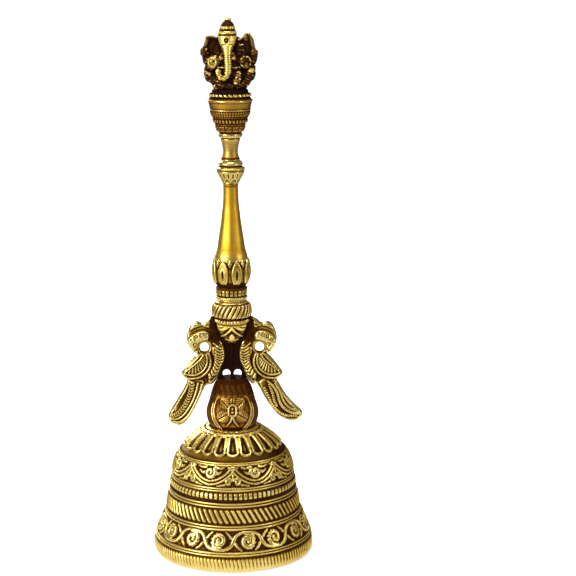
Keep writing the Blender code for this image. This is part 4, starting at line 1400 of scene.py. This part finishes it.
def make_world():
    """White to the eye and for soft light, darker in reflections, as a studio seen in polished metal."""
    world = bpy.data.worlds.new("studio")
    bpy.context.scene.world = world
    world.use_nodes = True
    tree = world.node_tree
    output = tree.nodes["World Output"]
    bright = tree.nodes["Background"]
    bright.inputs["Color"].default_value = (1, 1, 1, 1)
    bright.inputs["Strength"].default_value = 1.12
    dim = tree.nodes.new("ShaderNodeBackground")
    dim.inputs["Color"].default_value = (0.13, 0.115, 0.085, 1)
    dim.inputs["Strength"].default_value = 1.0
    path = tree.nodes.new("ShaderNodeLightPath")
    mix = tree.nodes.new("ShaderNodeMixShader")
    tree.links.new(path.outputs["Is Glossy Ray"], mix.inputs["Fac"])
    tree.links.new(bright.outputs["Background"], mix.inputs[1])
    tree.links.new(dim.outputs["Background"], mix.inputs[2])
    tree.links.new(mix.outputs["Shader"], output.inputs["Surface"])


def table_material():
    """A white table.  In reflections it is a painted glow that fades out away from the bell, like a white
    sheet in a dim room.
    """
    material, tree, shader = node_tree("white_table")
    shader.inputs["Base Color"].default_value = (0.95, 0.95, 0.95, 1)
    shader.inputs["Roughness"].default_value = 1.0
    shader.inputs["Specular IOR Level"].default_value = 0.0
    place = tree.nodes.new("ShaderNodeNewGeometry")
    reach = tree.nodes.new("ShaderNodeVectorMath")
    reach.operation = "LENGTH"
    tree.links.new(place.outputs["Position"], reach.inputs[0])
    fade = map_range(tree, reach.outputs["Value"], (0.05, 0.45), (0.9, 0.10))
    # Painted reflection: a glow seen only in glossy rays.
    reflected_glow = tree.nodes.new("ShaderNodeEmission")
    reflected_glow.inputs["Color"].default_value = (1.0, 0.97, 0.92, 1)
    tree.links.new(fade, reflected_glow.inputs["Strength"])
    path = tree.nodes.new("ShaderNodeLightPath")
    mix = tree.nodes.new("ShaderNodeMixShader")
    tree.links.new(path.outputs["Is Glossy Ray"], mix.inputs["Fac"])
    tree.links.new(shader.outputs["BSDF"], mix.inputs[1])
    tree.links.new(reflected_glow.outputs["Emission"], mix.inputs[2])
    tree.links.new(mix.outputs["Shader"], tree.nodes["Material Output"].inputs["Surface"])
    return material


def make_floor():
    bm = bmesh.new()
    bmesh.ops.create_circle(bm, cap_ends=True, segments=96, radius=6.0)
    mesh = bpy.data.meshes.new("floor")
    bm.to_mesh(mesh)
    bm.free()
    floor = bpy.data.objects.new("floor", mesh)
    floor.location.z = CAD_BOX[0][2] - 0.0001
    bpy.context.scene.collection.objects.link(floor)
    mesh.materials.append(table_material())


def make_studio():
    make_camera()
    make_world()
    make_floor()
    middle = (0, 0, 0.1)
    make_area_light("key", (-0.76, -0.60, 0.40), middle, (0.50, 0.80), 8.8)
    make_area_light("fill", (0.80, -0.45, 0.35), middle, (0.12, 0.60), 1.5)
    make_area_light("top", (0.0, -0.15, 1.0), middle, (0.5, 0.5), 3.5)
    make_area_light("back", (-0.35, 0.8, 0.45), middle, (0.35, 0.5), 4.0)
    bpy.context.scene.view_settings.view_transform = "Standard"


# ================================================================ assembly
def dress_cad_nodes():
    """The CAD fasteners and the clapper keep their shape and get aged metal."""
    dressed = {
        "tie_rod": STEEL, "crown_washer": STEEL, "crown_nut": STEEL, "eye_bolt": PLAIN,
        "clapper_link": PLAIN, "clapper_rod": PLAIN, "clapper_ball": PLAIN,
    }
    for node, material in dressed.items():
        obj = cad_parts[node]
        obj.data.materials.clear()
        obj.data.materials.append(material)


make_bell_cup()
make_crown_rosette()
make_vase_boss()
make_yoke_column()
make_bird("bird_left", -1)
make_bird("bird_right", 1)
make_rope_collar()
make_fret_collar()
make_lotus_collar()
make_handle_shaft()
make_knop()
make_finial_cone()
make_beaded_seat()
make_seated_figure()
dress_cad_nodes()
make_studio()
